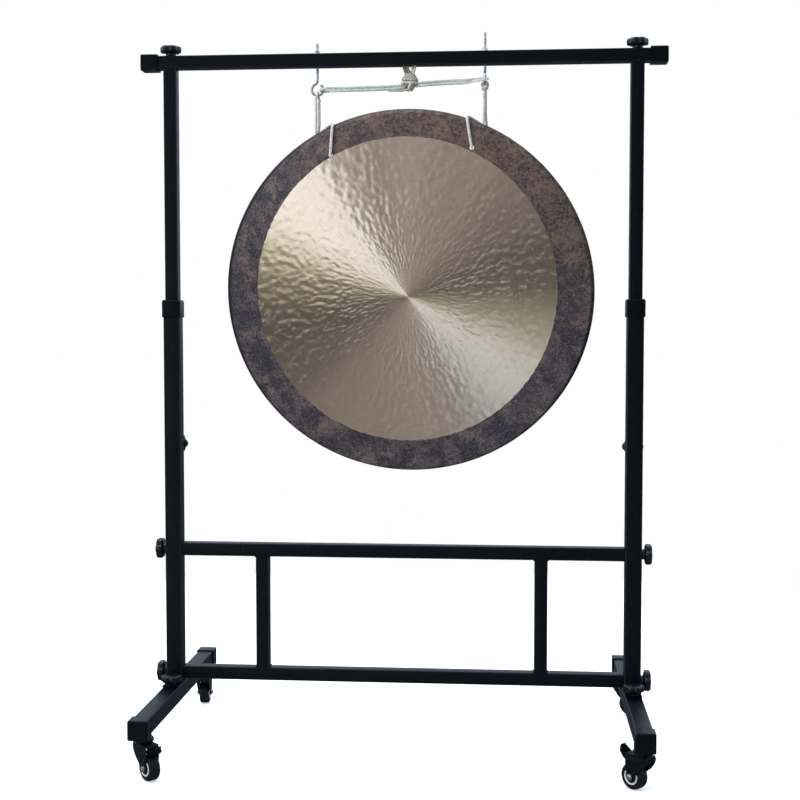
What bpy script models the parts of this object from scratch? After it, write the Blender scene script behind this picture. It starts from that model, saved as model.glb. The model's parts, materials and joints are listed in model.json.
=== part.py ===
"""Tam tam gong hung in a height-adjustable square-tube stand on four casters.

Metres, +Z up, the gong's face towards -Y, the origin on the floor under the middle of the stand.
The collection "tam_tam_gong" holds one object for each piece. The collection "cutters" holds the
shapes that cut their holes. Run it with: blender --background --python part.py
"""

import math

import bmesh
import bpy
from mathutils import Matrix, Vector

LEFT, RIGHT = -1, 1
SIDES = {"left": LEFT, "right": RIGHT}
GAP = 0.0003  # left between pieces that touch

# Square tubes
OUTER_TUBE = 0.040  # feet and lower posts
INNER_TUBE = 0.032  # sliding posts, crossbar, rails and struts
WALL = 0.0015
CORNER = 0.003
END_WALL = 0.004  # closed tube ends that a stud screws into
STUD_RADIUS = 0.004
STUD_HOLE = 0.0045

# Posts, rails and feet
POST_X = 0.565
FOOT_BOTTOM = 0.104
FOOT_TOP = FOOT_BOTTOM + OUTER_TUBE
FOOT_REACH = 0.360  # to the outside of each foot cap
BASE_PLATE = 0.004
STEM_HOLE = 0.0055  # radius of the hole for a caster's stem
CAP_EDGE = 0.0022  # size of the chamfer along an edge
TUBE_EDGE = 0.0025
PLATE_EDGE = 0.0008
OVERCUT = 0.01  # how far a cutter reaches past what it cuts
PLATE_FRONT = -0.063
PLATE_BACK = 0.024
POST_BOTTOM = FOOT_TOP + BASE_PLATE + 2 * GAP
POST_TOP = 1.090
MID_RAIL_Z = 0.481
LOW_RAIL_Z = 0.1716
RAIL_REACH = POST_X - OUTER_TUBE / 2 - GAP
STRUT_X = 0.343

# Sliding upper frame
BAR_TOP = 1.692
BAR_Z = BAR_TOP - INNER_TUBE / 2
BAR_BOTTOM = BAR_TOP - INNER_TUBE
BAR_REACH = 0.637  # to the outside of each bar cap
SLIDER_BOTTOM = 0.600

# Plastic caps and collars
CAP_LENGTH = 0.042
CAP_END = 0.003
FOOT_CAP_SIDE = 0.046
BAR_CAP_SIDE = 0.0395
COLLAR_SIDE = 0.046
COLLAR_BOTTOM = 1.055
COLLAR_TOP = 1.098

# Star knobs
KNOB_RADIUS = 0.0258
KNOB_LOBES = 6
LOBE_DEPTH = 0.07  # of the knob's radius
CROWN = 0.88  # how much of its width is left at its top
KNOB_HEIGHT = 0.0245
NECK_RADIUS = 0.013
NECK_HEIGHT = 0.0075
BASE_KNOB_Y = -0.049
STUD_END = 0.005  # how far a stud reaches past the wall that it screws into
BASE_STUD = 0.020
HEIGHT_STUD = 0.0038  # it ends short of the sliding post, which it presses when tight
LOCK_KNOB_Z = 0.740

# Eye bolts that carry the gong
HOOK_X = 0.203
EYE_Z = {"left": 1.607, "right": 1.627}
EYE_TURN = {"left": 0.0, "right": math.radians(90)}
EYE_RADIUS = 0.0138  # to the middle of the wire
EYE_START = math.radians(105)  # where the shank runs into the eye
EYE_STEP = math.radians(23.5)
EYE_POINTS = 14
HOOK_WIRE = 0.00325  # radius
NUT_RADIUS = 0.0062
NUT_HEIGHT = 0.0078
FLANGE_RADIUS = 0.0080
FLANGE_HEIGHT = 0.0016
HOOK_RISE = 0.110  # from the eye's centre to the tip of the thread

# Cords
CORD = 0.0032  # radius
CORD_RING = HOOK_WIRE + CORD + 0.0006  # a cord's middle from the middle of the wire it hangs on
CORD_CREST = CORD_RING + 0.0008  # the same at the top of a sling, where it must clear the eye's bend
WRAP_RING = CORD_RING + 0.0006  # the same where the cord goes most of the way round the wire
HANGER_X = 0.0215
HANGER_HALF = 0.012  # from the middle of the hanger cord to each of its holes in the crossbar
HANGER_HOLE = 0.0042  # radius

# Gong, in its own frame: u to the right, v up the face, h out of the face
GONG_CENTRE = Vector((0.0193, -0.0043, 1.107))
GONG_TILT = math.radians(9.5)  # its top leans forward, so that its weight hangs under the eyes
GONG_ROLL = math.radians(2.4)
GONG_WIDTH = 0.900
GONG_HEIGHT = 0.889
GONG_RADIUS = (GONG_WIDTH + GONG_HEIGHT) / 4
GONG_THICK = 0.0025
FACE_RADIUS = 0.3645  # polished disc
FACE_DOME = 0.018
RIM_DEPTH = 0.060
RIM_BEND = 0.014
RIM_TAPER = 0.010  # how much smaller the rim's back edge is than its widest place
SLOPE_DROP = 0.010  # how far the dark border falls back from the disc to the bend
HOLE_FROM_CENTRE = 0.385
HOLE_SPREAD = math.radians(26)
HOLE_RADIUS = 0.0052
SLING_SPREAD = {"left": 0.0035, "right": 0.0017}  # half the way between a sling's two strands
SLING_LEAD = {"left": 0.005, "right": -0.011}  # where each sling meets the rim, from its hole

# Casters
CASTER_Y = 0.302
WHEEL_RADIUS = 0.030
WHEEL_HALF = 0.013
TRAIL = 0.025  # the axle from the swivel's axis
FORK_HALF = 0.0175
FORK_INNER_HALF = 0.0150
HUB_HALF = 0.0142
FORK_TOP = 0.083
FORK_CEILING = 0.0795
AXLE_RADIUS = 0.003
PEDAL_PIVOT = (0.035, 0.069)  # along the trail and up
PEDAL_TRAVEL = math.radians(20)
PEDAL_WIDTH = 0.024
CASTERS = {
    "front_left": (LEFT, -CASTER_Y, math.radians(-45)),
    "front_right": (RIGHT, -CASTER_Y, math.radians(135)),
    "rear_left": (LEFT, CASTER_Y, math.radians(95)),
    "rear_right": (RIGHT, CASTER_Y, math.radians(5)),
}

# Colour, roughness and metallic value of each finish
FINISHES = {
    "black_coat": ((0.010, 0.010, 0.012), 0.38, 0.0),
    "black_plastic": ((0.012, 0.012, 0.014), 0.45, 0.0),
    "black_steel": ((0.015, 0.015, 0.017), 0.35, 0.6),
    "zinc": ((0.62, 0.63, 0.65), 0.30, 1.0),
    "bronze": ((0.55, 0.42, 0.27), 0.28, 1.0),
    "cord": ((0.70, 0.68, 0.62), 0.80, 0.0),
    "tyre": ((0.020, 0.020, 0.022), 0.60, 0.0),
}


def clear_scene():
    for old in list(bpy.data.objects):
        bpy.data.objects.remove(old)


def new_collection(name):
    collection = bpy.data.collections.new(name)
    bpy.context.scene.collection.children.link(collection)
    return collection


def paint(piece, finish):
    colour, roughness, metallic = FINISHES[finish]
    material = bpy.data.materials.new(piece.name + "_" + finish)
    material.use_nodes = True
    shader = material.node_tree.nodes["Principled BSDF"]
    shader.inputs["Base Color"].default_value = (*colour, 1)
    shader.inputs["Roughness"].default_value = roughness
    shader.inputs["Metallic"].default_value = metallic
    piece.data.materials.clear()
    piece.data.materials.append(material)


def add_piece(name, data, finish, matrix=None, parent=None):
    piece = bpy.data.objects.new(name, data)
    PARTS.objects.link(piece)
    piece.matrix_world = matrix or Matrix()
    if parent:
        piece.parent = parent
        piece.matrix_parent_inverse = Matrix.Translation(-parent.location)
    paint(piece, finish)
    return piece


def add_pivot(name, place):
    """An empty on a joint's axis, which carries the pieces that move."""
    pivot = bpy.data.objects.new(name, None)
    pivot.location = place
    pivot.empty_display_size = 0.05
    PARTS.objects.link(pivot)
    return pivot


def smooth(mesh, angle=35):
    mesh.shade_smooth()
    mesh.set_sharp_from_angle(angle=math.radians(angle))


def along(axis):
    """The rotation that turns +Z to an axis."""
    return Vector(axis).to_track_quat("Z", "Y").to_matrix().to_4x4()


def cut(piece, cutters, operation="DIFFERENCE"):
    """Cuts meshes given as bmesh fillers out of a piece, all with one modifier."""
    bm = bmesh.new()
    for cutter in cutters:
        cutter(bm)
    mesh = bpy.data.meshes.new(piece.name + "_cutter")
    bm.to_mesh(mesh)
    bm.free()
    tool = bpy.data.objects.new(f"{piece.name}_{operation.lower()}_{len(piece.modifiers)}", mesh)
    tool.hide_render = True
    tool.display_type = "WIRE"
    CUTTERS.objects.link(tool)
    modifier = piece.modifiers.new(operation.title(), "BOOLEAN")
    modifier.operation = operation
    modifier.object = tool


def box_filler(low, high, frame=None):
    low, high = Vector(low), Vector(high)
    size = Matrix.Diagonal((*(high - low), 1))
    matrix = (frame or Matrix()) @ Matrix.Translation((low + high) / 2) @ size
    return lambda bm: bmesh.ops.create_cube(bm, size=1, matrix=matrix)


def rod_filler(start, end, radius, segments=12, frame=None):
    start, end = Vector(start), Vector(end)
    matrix = (frame or Matrix()) @ Matrix.Translation((start + end) / 2) @ along(end - start)
    return lambda bm: bmesh.ops.create_cone(
        bm,
        cap_ends=True,
        segments=segments,
        radius1=radius,
        radius2=radius,
        depth=(end - start).length,
        matrix=matrix,
    )


def rounded_square(side, radius, steps=2):
    """Corner points of a square with round corners, counter-clockwise."""
    points = []
    reach = side / 2 - radius
    for quarter in range(4):
        turn = quarter * math.pi / 2
        middle = (reach * math.sqrt(2) * math.cos(turn + math.pi / 4),
                  reach * math.sqrt(2) * math.sin(turn + math.pi / 4))
        for step in range(steps + 1):
            angle = turn + step / steps * math.pi / 2
            points.append((middle[0] + radius * math.cos(angle),
                           middle[1] + radius * math.sin(angle)))
    return points


def outline_mesh(name, outlines, thickness):
    """A mesh of flat closed outlines, extruded half the thickness each way along Z."""
    curve = bpy.data.curves.new(name, "CURVE")
    curve.dimensions = "2D"
    curve.fill_mode = "BOTH"
    curve.extrude = thickness / 2
    for points in outlines:
        spline = curve.splines.new("POLY")
        spline.points.add(len(points) - 1)
        for point, (x, y) in zip(spline.points, points):
            point.co = (x, y, 0, 1)
        spline.use_cyclic_u = True
    return mesh_of_curve(curve)


def mesh_of_curve(curve):
    guide = bpy.data.objects.new(curve.name + "_guide", curve)
    CUTTERS.objects.link(guide)
    graph = bpy.context.evaluated_depsgraph_get()
    mesh = bpy.data.meshes.new_from_object(guide.evaluated_get(graph))
    mesh.name = curve.name
    bpy.data.objects.remove(guide)
    bm = bmesh.new()
    bm.from_mesh(mesh)
    bmesh.ops.remove_doubles(bm, verts=bm.verts, dist=0.00001)
    bm.to_mesh(mesh)
    bm.free()
    return mesh


def square_tube(name, side, start, end, finish="black_coat", parent=None):
    """A square tube, open at both ends, from start to end."""
    start, end = Vector(start), Vector(end)
    outlines = [rounded_square(side, CORNER), rounded_square(side - 2 * WALL, CORNER - WALL)]
    mesh = outline_mesh(name, outlines, (end - start).length)
    smooth(mesh)
    matrix = Matrix.Translation((start + end) / 2) @ along(end - start)
    return add_piece(name, mesh, finish, matrix, parent)


def block(name, low, high, finish, bevel=0.001, parent=None):
    """A box with rounded edges, made about its own middle."""
    low, high = Vector(low), Vector(high)
    bm = bmesh.new()
    bmesh.ops.create_cube(bm, size=1, matrix=Matrix.Diagonal((*(high - low), 1)))
    bmesh.ops.bevel(bm, geom=bm.edges, offset=bevel, segments=1, affect="EDGES", profile=0.5)
    mesh = bpy.data.meshes.new(name)
    bm.to_mesh(mesh)
    bm.free()
    smooth(mesh)
    return add_piece(name, mesh, finish, Matrix.Translation((low + high) / 2), parent)


def turned(name, profile, finish, matrix, steps, closed=False, parent=None):
    """A shape turned about its own Z axis. The profile runs down its outer side."""
    mesh = bpy.data.meshes.new(name)
    edges = [(i, i + 1) for i in range(len(profile) - 1)]
    if closed:
        edges.append((len(profile) - 1, 0))
    mesh.from_pydata([(r, 0, z) for r, z in profile], edges, [])
    piece = add_piece(name, mesh, finish, matrix, parent)
    screw = piece.modifiers.new("Screw", "SCREW")
    screw.steps = screw.render_steps = steps
    screw.use_merge_vertices = True
    screw.merge_threshold = 0.00001
    screw.use_smooth_shade = True
    return piece


def smooth_route(points, closed, steps):
    """Points on a smooth curve through the route's own points."""
    points = [Vector(p) for p in points]
    count = len(points)
    route = []
    for i in range(count if closed else count - 1):
        if closed:
            a, b, c, d = (points[(i + k) % count] for k in (-1, 0, 1, 2))
        else:
            a, b, c, d = (points[min(max(i + k, 0), count - 1)] for k in (-1, 0, 1, 2))
        for step in range(steps):
            t = step / steps
            route.append(0.5 * (2 * b + (c - a) * t + (2 * a - 5 * b + 4 * c - d) * t * t
                                + (3 * b - a - 3 * c + d) * t ** 3))
    if not closed:
        route.append(points[-1])
    return route


def round_wire(name, route, radius, finish, closed=False, matrix=None, parent=None):
    """A round wire or cord along a list of points."""
    curve = bpy.data.curves.new(name, "CURVE")
    curve.dimensions = "3D"
    curve.bevel_depth = radius
    curve.bevel_resolution = 2
    curve.use_fill_caps = True
    spline = curve.splines.new("POLY")
    spline.points.add(len(route) - 1)
    for point, place in zip(spline.points, route):
        point.co = (*place, 1)
    spline.use_cyclic_u = closed
    return add_piece(name, curve, finish, matrix, parent)


# Stand


def feet():
    for side, sign in SIDES.items():
        x = sign * POST_X
        end = FOOT_REACH - CAP_END - GAP
        middle = FOOT_BOTTOM + OUTER_TUBE / 2
        foot = square_tube(f"{side}_foot", OUTER_TUBE, (x, -end, middle), (x, end, middle))
        stems = [rod_filler((x, y, FOOT_BOTTOM - OVERCUT), (x, y, FOOT_BOTTOM + OVERCUT), STEM_HOLE)
                 for y in (-CASTER_Y, CASTER_Y)]
        top = rod_filler((x, BASE_KNOB_Y, FOOT_TOP - OVERCUT),
                         (x, BASE_KNOB_Y, FOOT_TOP + OVERCUT), STUD_HOLE)
        cut(foot, [*stems, top])
        for place, direction in (("front", -1), ("rear", 1)):
            outside = direction * FOOT_REACH
            mouth = direction * (FOOT_REACH - CAP_LENGTH)
            slip_cap(f"{side}_{place}_foot_cap", (x, outside, middle), (x, mouth, middle),
                     FOOT_CAP_SIDE, OUTER_TUBE)


def slip_cap(name, outside, mouth, side, tube, parent=None):
    """A plastic cap that slips over the end of a square tube."""
    outside, mouth = Vector(outside), Vector(mouth)
    inward = (mouth - outside).normalized()
    across = Vector([side / 2 if abs(c) < 0.5 else 0 for c in inward])
    corners = (outside - across, outside + across, mouth - across, mouth + across)
    low = [min(c[i] for c in corners) for i in range(3)]
    high = [max(c[i] for c in corners) for i in range(3)]
    cap = block(name, low, high, "black_plastic", CAP_EDGE, parent)
    room = across * ((tube / 2 + GAP) / (side / 2))
    start = outside + inward * CAP_END
    end = mouth + inward * OVERCUT
    corners = (start - room, start + room, end - room, end + room)
    cut(cap, [box_filler([min(c[i] for c in corners) for i in range(3)],
                         [max(c[i] for c in corners) for i in range(3)])])


def base_plates():
    """Each post is welded to a plate, which its base knob clamps to the foot."""
    for side, sign in SIDES.items():
        x = sign * POST_X
        half = OUTER_TUBE / 2
        bottom = FOOT_TOP + GAP
        plate = block(f"{side}_base_plate", (x - half, PLATE_FRONT, bottom),
                      (x + half, PLATE_BACK, bottom + BASE_PLATE), "black_coat", PLATE_EDGE)
        cut(plate, [rod_filler((x, BASE_KNOB_Y, bottom - OVERCUT),
                               (x, BASE_KNOB_Y, bottom + OVERCUT), STUD_HOLE)])


def lower_posts():
    for side, sign in SIDES.items():
        x = sign * POST_X
        post = square_tube(f"{side}_lower_post", OUTER_TUBE, (x, 0, POST_BOTTOM), (x, 0, POST_TOP))
        reach = OUTER_TUBE / 2 + OVERCUT
        across = [rod_filler((x - reach, 0, z), (x + reach, 0, z), STUD_HOLE)
                  for z in (MID_RAIL_Z, LOW_RAIL_Z)]
        back = rod_filler((x, reach - 2 * OVERCUT, LOCK_KNOB_Z), (x, reach, LOCK_KNOB_Z), STUD_HOLE)
        cut(post, [*across, back])


def collars():
    """Plastic guides at the top of the lower posts."""
    for side, sign in SIDES.items():
        x = sign * POST_X
        half = COLLAR_SIDE / 2
        collar = block(f"{side}_collar", (x - half, -half, COLLAR_BOTTOM),
                       (x + half, half, COLLAR_TOP), "black_plastic", TUBE_EDGE)
        over = OUTER_TUBE / 2 + GAP
        lip = INNER_TUBE / 2 + GAP
        cut(collar, [box_filler((x - over, -over, COLLAR_BOTTOM - OVERCUT),
                                (x + over, over, POST_TOP + GAP))])
        cut(collar, [box_filler((x - lip, -lip, POST_TOP - OVERCUT),
                                (x + lip, lip, COLLAR_TOP + OVERCUT))])


def rails():
    """Cross rails with closed ends, which the side knobs' studs screw into."""
    for name, z in (("mid_rail", MID_RAIL_Z), ("low_rail", LOW_RAIL_Z)):
        half = INNER_TUBE / 2
        rail = block(name, (-RAIL_REACH, -half, z - half), (RAIL_REACH, half, z + half),
                     "black_coat", TUBE_EDGE)
        room = half - WALL
        inside = RAIL_REACH - END_WALL
        cut(rail, [box_filler((-inside, -room, z - room), (inside, room, z + room))])
        cut(rail, [rod_filler((sign * (RAIL_REACH + OVERCUT), 0, z),
                              (sign * (inside - OVERCUT), 0, z), STUD_HOLE)
                   for sign in SIDES.values()])


def struts():
    bottom = LOW_RAIL_Z + INNER_TUBE / 2 + GAP
    top = MID_RAIL_Z - INNER_TUBE / 2 - GAP
    for side, sign in SIDES.items():
        x = sign * STRUT_X
        square_tube(f"{side}_strut", INNER_TUBE, (x, 0, bottom), (x, 0, top))


# Star knobs


def star_knob_mesh(name, stud):
    """A lobed knob on a round neck, with its threaded stud below. Its foot is at the origin."""
    lobe = (KNOB_RADIUS * (1 - LOBE_DEPTH), KNOB_RADIUS * LOBE_DEPTH)
    rings = (
        (-stud, STUD_RADIUS, 0),
        (0, STUD_RADIUS, 0),
        (0, NECK_RADIUS, 0),
        (NECK_HEIGHT, NECK_RADIUS, 0),
        (NECK_HEIGHT + 0.0015, *lobe),
        (KNOB_HEIGHT - 0.0025, *lobe),
        (KNOB_HEIGHT, lobe[0] * CROWN, lobe[1]),
    )
    count = KNOB_LOBES * 4
    bm = bmesh.new()
    loops = []
    for z, radius, wave in rings:
        loop = []
        for step in range(count):
            angle = step * math.tau / count
            reach = radius + wave * math.cos(KNOB_LOBES * angle)
            loop.append(bm.verts.new((reach * math.cos(angle), reach * math.sin(angle), z)))
        loops.append(loop)
    for low, high in zip(loops, loops[1:]):
        for i in range(count):
            j = (i + 1) % count
            bm.faces.new((low[i], low[j], high[j], high[i]))
    bm.faces.new(loops[0][::-1])
    bm.faces.new(loops[-1])
    mesh = bpy.data.meshes.new(name)
    bm.to_mesh(mesh)
    bm.free()
    smooth(mesh)
    return mesh


def star_knob(name, place, axis, stud, parent=None):
    matrix = Matrix.Translation(place) @ along(axis)
    return add_piece(name, star_knob_mesh(name, stud), "black_plastic", matrix, parent)


def stand_knobs():
    side_x = POST_X + OUTER_TUBE / 2 + GAP
    side_stud = side_x - (RAIL_REACH - END_WALL - STUD_END)
    base_z = POST_BOTTOM
    back_y = OUTER_TUBE / 2 + GAP
    for side, sign in SIDES.items():
        star_knob(f"{side}_mid_rail_knob", (sign * side_x, 0, MID_RAIL_Z), (sign, 0, 0), side_stud)
        star_knob(f"{side}_low_rail_knob", (sign * side_x, 0, LOW_RAIL_Z), (sign, 0, 0), side_stud)
        star_knob(f"{side}_base_knob", (sign * POST_X, BASE_KNOB_Y, base_z), (0, 0, 1), BASE_STUD)
        star_knob(f"{side}_height_knob", (sign * POST_X, back_y, LOCK_KNOB_Z), (0, 1, 0),
                  HEIGHT_STUD)


def top_knobs(slide):
    stud = INNER_TUBE + END_WALL + 0.004
    for side, sign in SIDES.items():
        star_knob(f"{side}_top_knob", (sign * POST_X, 0, BAR_TOP + GAP), (0, 0, 1), stud, slide)


# Sliding upper frame


def upper_posts(slide):
    for side, sign in SIDES.items():
        x = sign * POST_X
        half = INNER_TUBE / 2
        top = BAR_BOTTOM - GAP
        start = SLIDER_BOTTOM - OVERCUT
        post = block(f"{side}_upper_post", (x - half, -half, start), (x + half, half, top),
                     "black_coat", TUBE_EDGE, slide)
        room = half - WALL
        wide = half + OVERCUT
        cut(post, [box_filler((x - wide, -wide, start - OVERCUT), (x + wide, wide, SLIDER_BOTTOM))])
        cut(post, [box_filler((x - room, -room, start), (x + room, room, top - END_WALL))])
        cut(post, [rod_filler((x, 0, top + OVERCUT), (x, 0, top - END_WALL - OVERCUT), STUD_HOLE)])


def crossbar(slide):
    end = BAR_REACH - CAP_END - GAP
    bar = square_tube("crossbar", INNER_TUBE, (-end, 0, BAR_Z), (end, 0, BAR_Z), parent=slide)
    upright = ((0, 0, BAR_BOTTOM - OVERCUT), (0, 0, BAR_TOP + OVERCUT))
    holes = []
    for sign in SIDES.values():
        for x, radius in ((sign * POST_X, STUD_HOLE), (sign * HOOK_X, HOOK_WIRE + 2 * GAP)):
            holes.append(rod_filler(*(Vector(p) + Vector((x, 0, 0)) for p in upright), radius))
        x = HANGER_X + sign * HANGER_HALF
        holes.append(rod_filler((x, 0, BAR_BOTTOM - OVERCUT), (x, 0, BAR_BOTTOM + WALL + 0.002),
                                HANGER_HOLE))
        slip_cap("left_bar_cap" if sign == LEFT else "right_bar_cap",
                 (sign * BAR_REACH, 0, BAR_Z), (sign * (BAR_REACH - CAP_LENGTH), 0, BAR_Z),
                 BAR_CAP_SIDE, INNER_TUBE, slide)
    cut(bar, holes)


def eye_bolts(slide):
    """Threaded rods bent into an eye, hung through the crossbar on flange nuts."""
    turn = [EYE_START + EYE_STEP * i for i in range(EYE_POINTS)]
    eye = [(EYE_RADIUS * math.cos(a), 0, EYE_RADIUS * math.sin(a)) for a in turn]
    shank = [(0, 0, HOOK_RISE), (0, 0, 0.028), (-0.0001, 0, 0.0225), (-0.0012, 0, 0.0175)]
    for side, sign in SIDES.items():
        x = sign * HOOK_X
        matrix = Matrix.Translation((x, 0, EYE_Z[side])) @ Matrix.Rotation(EYE_TURN[side], 4, "Z")
        round_wire(f"{side}_eye_bolt", shank + eye, HOOK_WIRE, "zinc", False, matrix, slide)
        bore = HOOK_WIRE + GAP
        bottom = BAR_TOP + GAP
        profile = ((bore, NUT_HEIGHT), (NUT_RADIUS - 0.0004, NUT_HEIGHT),
                   (NUT_RADIUS, NUT_HEIGHT - 0.0006), (NUT_RADIUS, FLANGE_HEIGHT + 0.0008),
                   (FLANGE_RADIUS, FLANGE_HEIGHT), (FLANGE_RADIUS, 0), (bore, 0))
        turned(f"{side}_eye_nut", profile, "zinc", Matrix.Translation((x, 0, bottom)), 12, True,
               slide)


def wrap(centre, start, end, bottom, top, steps=6):
    """Points of a cord that goes round an upright wire, from one angle to another."""
    points = []
    for step in range(steps + 1):
        part = step / steps
        angle = math.radians(start + (end - start) * part)
        points.append((centre[0] + WRAP_RING * math.cos(angle),
                       centre[1] + WRAP_RING * math.sin(angle), bottom + (top - bottom) * part))
    return points


def tie_cord(slide):
    """A doubled cord between the two eyes, which the hanger cord holds up in the middle."""
    middle = ((-0.165, 1.6065), (-0.122, 1.6068), (-0.080, 1.6075), (-0.040, 1.6085),
              (-0.005, 1.6100), (HANGER_X, 1.6130), (0.048, 1.6162), (0.085, 1.6185),
              (0.122, 1.6200), (0.155, 1.6210))
    half = CORD + 0.0002
    upper = [(x, 0, z + half) for x, z in middle]
    lower = [(x, 0, z - half) for x, z in middle]
    right_wire = (HOOK_X, -EYE_RADIUS)
    left_wire = (EYE_RADIUS * math.cos(math.radians(10)) - HOOK_X, 0)
    right = [(0.180, -0.0048, 1.6245), *wrap(right_wire, 100, -110, 1.6250, 1.6205),
             (0.178, -0.0130, 1.6190)]
    left = [(-0.178, 0.0050, 1.6030), *wrap(left_wire, 80, 280, 1.6035, 1.6070),
            (-0.178, -0.0050, 1.6090)]
    route = [*upper, *right, *lower[::-1], *left]
    round_wire("tie_cord", route, CORD, "cord", True, parent=slide)


def hanger_cord(slide):
    """A loop round the tie cord, through two holes under the crossbar and over inside it."""
    x = HANGER_X
    inside = BAR_BOTTOM + 0.009
    wide = HANGER_HALF
    points = [(x - wide, 0, inside), (x, 0, inside + 0.004), (x + wide, 0, inside),
              (x + wide, 0, BAR_BOTTOM - 0.002), (x + 0.0075, -0.003, 1.6400),
              (x + 0.003, -0.0078, 1.6220), (x + 0.001, -0.0082, 1.6080),
              (x, 0, 1.6012), (x - 0.001, 0.0082, 1.6080), (x - 0.003, 0.0078, 1.6220),
              (x - 0.0075, 0.003, 1.6400), (x - wide, 0, BAR_BOTTOM - 0.002)]
    route = smooth_route(points, True, 2)
    round_wire("hanger_cord", route, CORD, "cord", True, parent=slide)


# Gong


def gong_frame():
    return Matrix.Translation(GONG_CENTRE) @ Matrix.Rotation(math.pi / 2 + GONG_TILT, 4, "X")


def hole_place(sign):
    """Where a cord hole lies on the gong, as (u, v)."""
    angle = math.pi / 2 + GONG_ROLL - sign * HOLE_SPREAD
    return HOLE_FROM_CENTRE * math.cos(angle), HOLE_FROM_CENTRE * math.sin(angle)


def gong_profile():
    """Radius and height of the front surface from the back edge in to the centre, then the back."""
    bend = []
    for step in range(4):
        angle = math.radians(5 + step * 26)
        bend.append((GONG_RADIUS - RIM_BEND * (1 - math.cos(angle)),
                     -SLOPE_DROP - RIM_BEND * (1 - math.sin(angle))))
    dome = [(FACE_RADIUS * part, FACE_DOME * (1 - part ** 1.5)) for part in (1, 0.66, 0.33, 0)]
    front = [(GONG_RADIUS - RIM_TAPER, -RIM_DEPTH), *bend, *dome]
    back = [(max(r - GONG_THICK, 0) if h < -SLOPE_DROP - 0.001 else r, h - GONG_THICK)
            for r, h in front[1:]]
    return [*front[::-1], (GONG_RADIUS - RIM_TAPER - GONG_THICK, -RIM_DEPTH), *back]


def gong(swing):
    scale = Matrix.Diagonal((GONG_WIDTH / 2 / GONG_RADIUS, GONG_HEIGHT / 2 / GONG_RADIUS, 1, 1))
    disc = turned("gong", gong_profile(), "bronze", gong_frame() @ scale, 48, parent=swing)
    holes = []
    for sign in SIDES.values():
        u, v = hole_place(sign)
        holes.append(rod_filler((u, v, 0.01), (u, v, -0.03), HOLE_RADIUS, frame=gong_frame()))
    cut(disc, holes)


def rim_point(u, h, clear):
    """A point of the gong's frame that stands clear of the outside of the rim."""
    shrink = RIM_TAPER * max(0, -h - SLOPE_DROP - RIM_BEND) / (RIM_DEPTH - SLOPE_DROP - RIM_BEND)
    width, height = GONG_WIDTH / 2 - shrink + clear, GONG_HEIGHT / 2 - shrink + clear
    return u, height * math.sqrt(1 - (u / width) ** 2), h


def sling_route(side):
    """Over the eye, down behind the rim, back over it to the hole, through it and up again."""
    sign = SIDES[side]
    frame = gong_frame()
    eye = Vector((sign * HOOK_X, 0, EYE_Z[side] - EYE_RADIUS))
    turn = Matrix.Rotation(-EYE_TURN[side], 3, "Z")
    u, v = hole_place(sign)
    lead = SLING_LEAD[side]
    spread = SLING_SPREAD[side]
    shift = eye.x - GONG_CENTRE.x
    clear = CORD + 0.0005
    over = [eye + turn @ Vector(p) for p in ((0, CORD_RING, 0), (0, 0, CORD_CREST),
                                             (0, -CORD_RING, 0))]
    down = [eye + Vector(p) for p in ((-spread, -0.0034, -0.020), (-spread, -0.0014, -0.055))]
    edge = shift - 0.0036
    front = [(edge, rim_point(edge, -RIM_DEPTH, clear)[1] + 0.003, -RIM_DEPTH - clear),
             rim_point(edge * 0.94 + u * 0.06, -RIM_DEPTH + 0.006, clear),
             rim_point((edge + u + lead) / 2, -0.038, clear + 0.0004),
             rim_point(u + lead, -0.019, clear),
             (u + lead * 0.95, v + 0.0640, -0.0050),
             (u + lead * 0.55, v + 0.035, CORD - 0.0020),
             (u + lead * 0.15, v + 0.009, CORD + 0.0002),
             (u, v - 0.0004, CORD - 0.0004),
             (u, v - 0.0004, -0.0075)]
    back = [(u - sign * 0.001, v + 0.008, -0.016), (u + 0.009, v + 0.022, -0.040),
            (shift + 0.0036, v + 0.033, -RIM_DEPTH - 0.008)]
    up = [eye + Vector(p) for p in ((spread, 0.0058, -0.070), (spread, 0.0034, -0.020))]
    inside = [frame @ Vector(p) for p in (*front, *back)]
    return smooth_route([*over, *down, *inside, *up], True, 2)


def slings(swing):
    for side in SIDES:
        round_wire(f"{side}_sling", sling_route(side), CORD, "cord", True, parent=swing)


# Casters


def caster_mount(name, place):
    """Threaded stem, washer and upper race, fixed to the foot."""
    top = FOOT_BOTTOM - GAP
    profile = ((0, 0.130), (0.005, 0.130), (0.005, top), (0.014, top), (0.015, 0.0975),
               (0.022, 0.0935), (0.023, 0.0915), (0.023, 0.0865), (0.021, FORK_TOP + GAP),
               (0, FORK_TOP + GAP))
    turned(name, profile, "black_steel", Matrix.Translation(place), 16)


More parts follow.
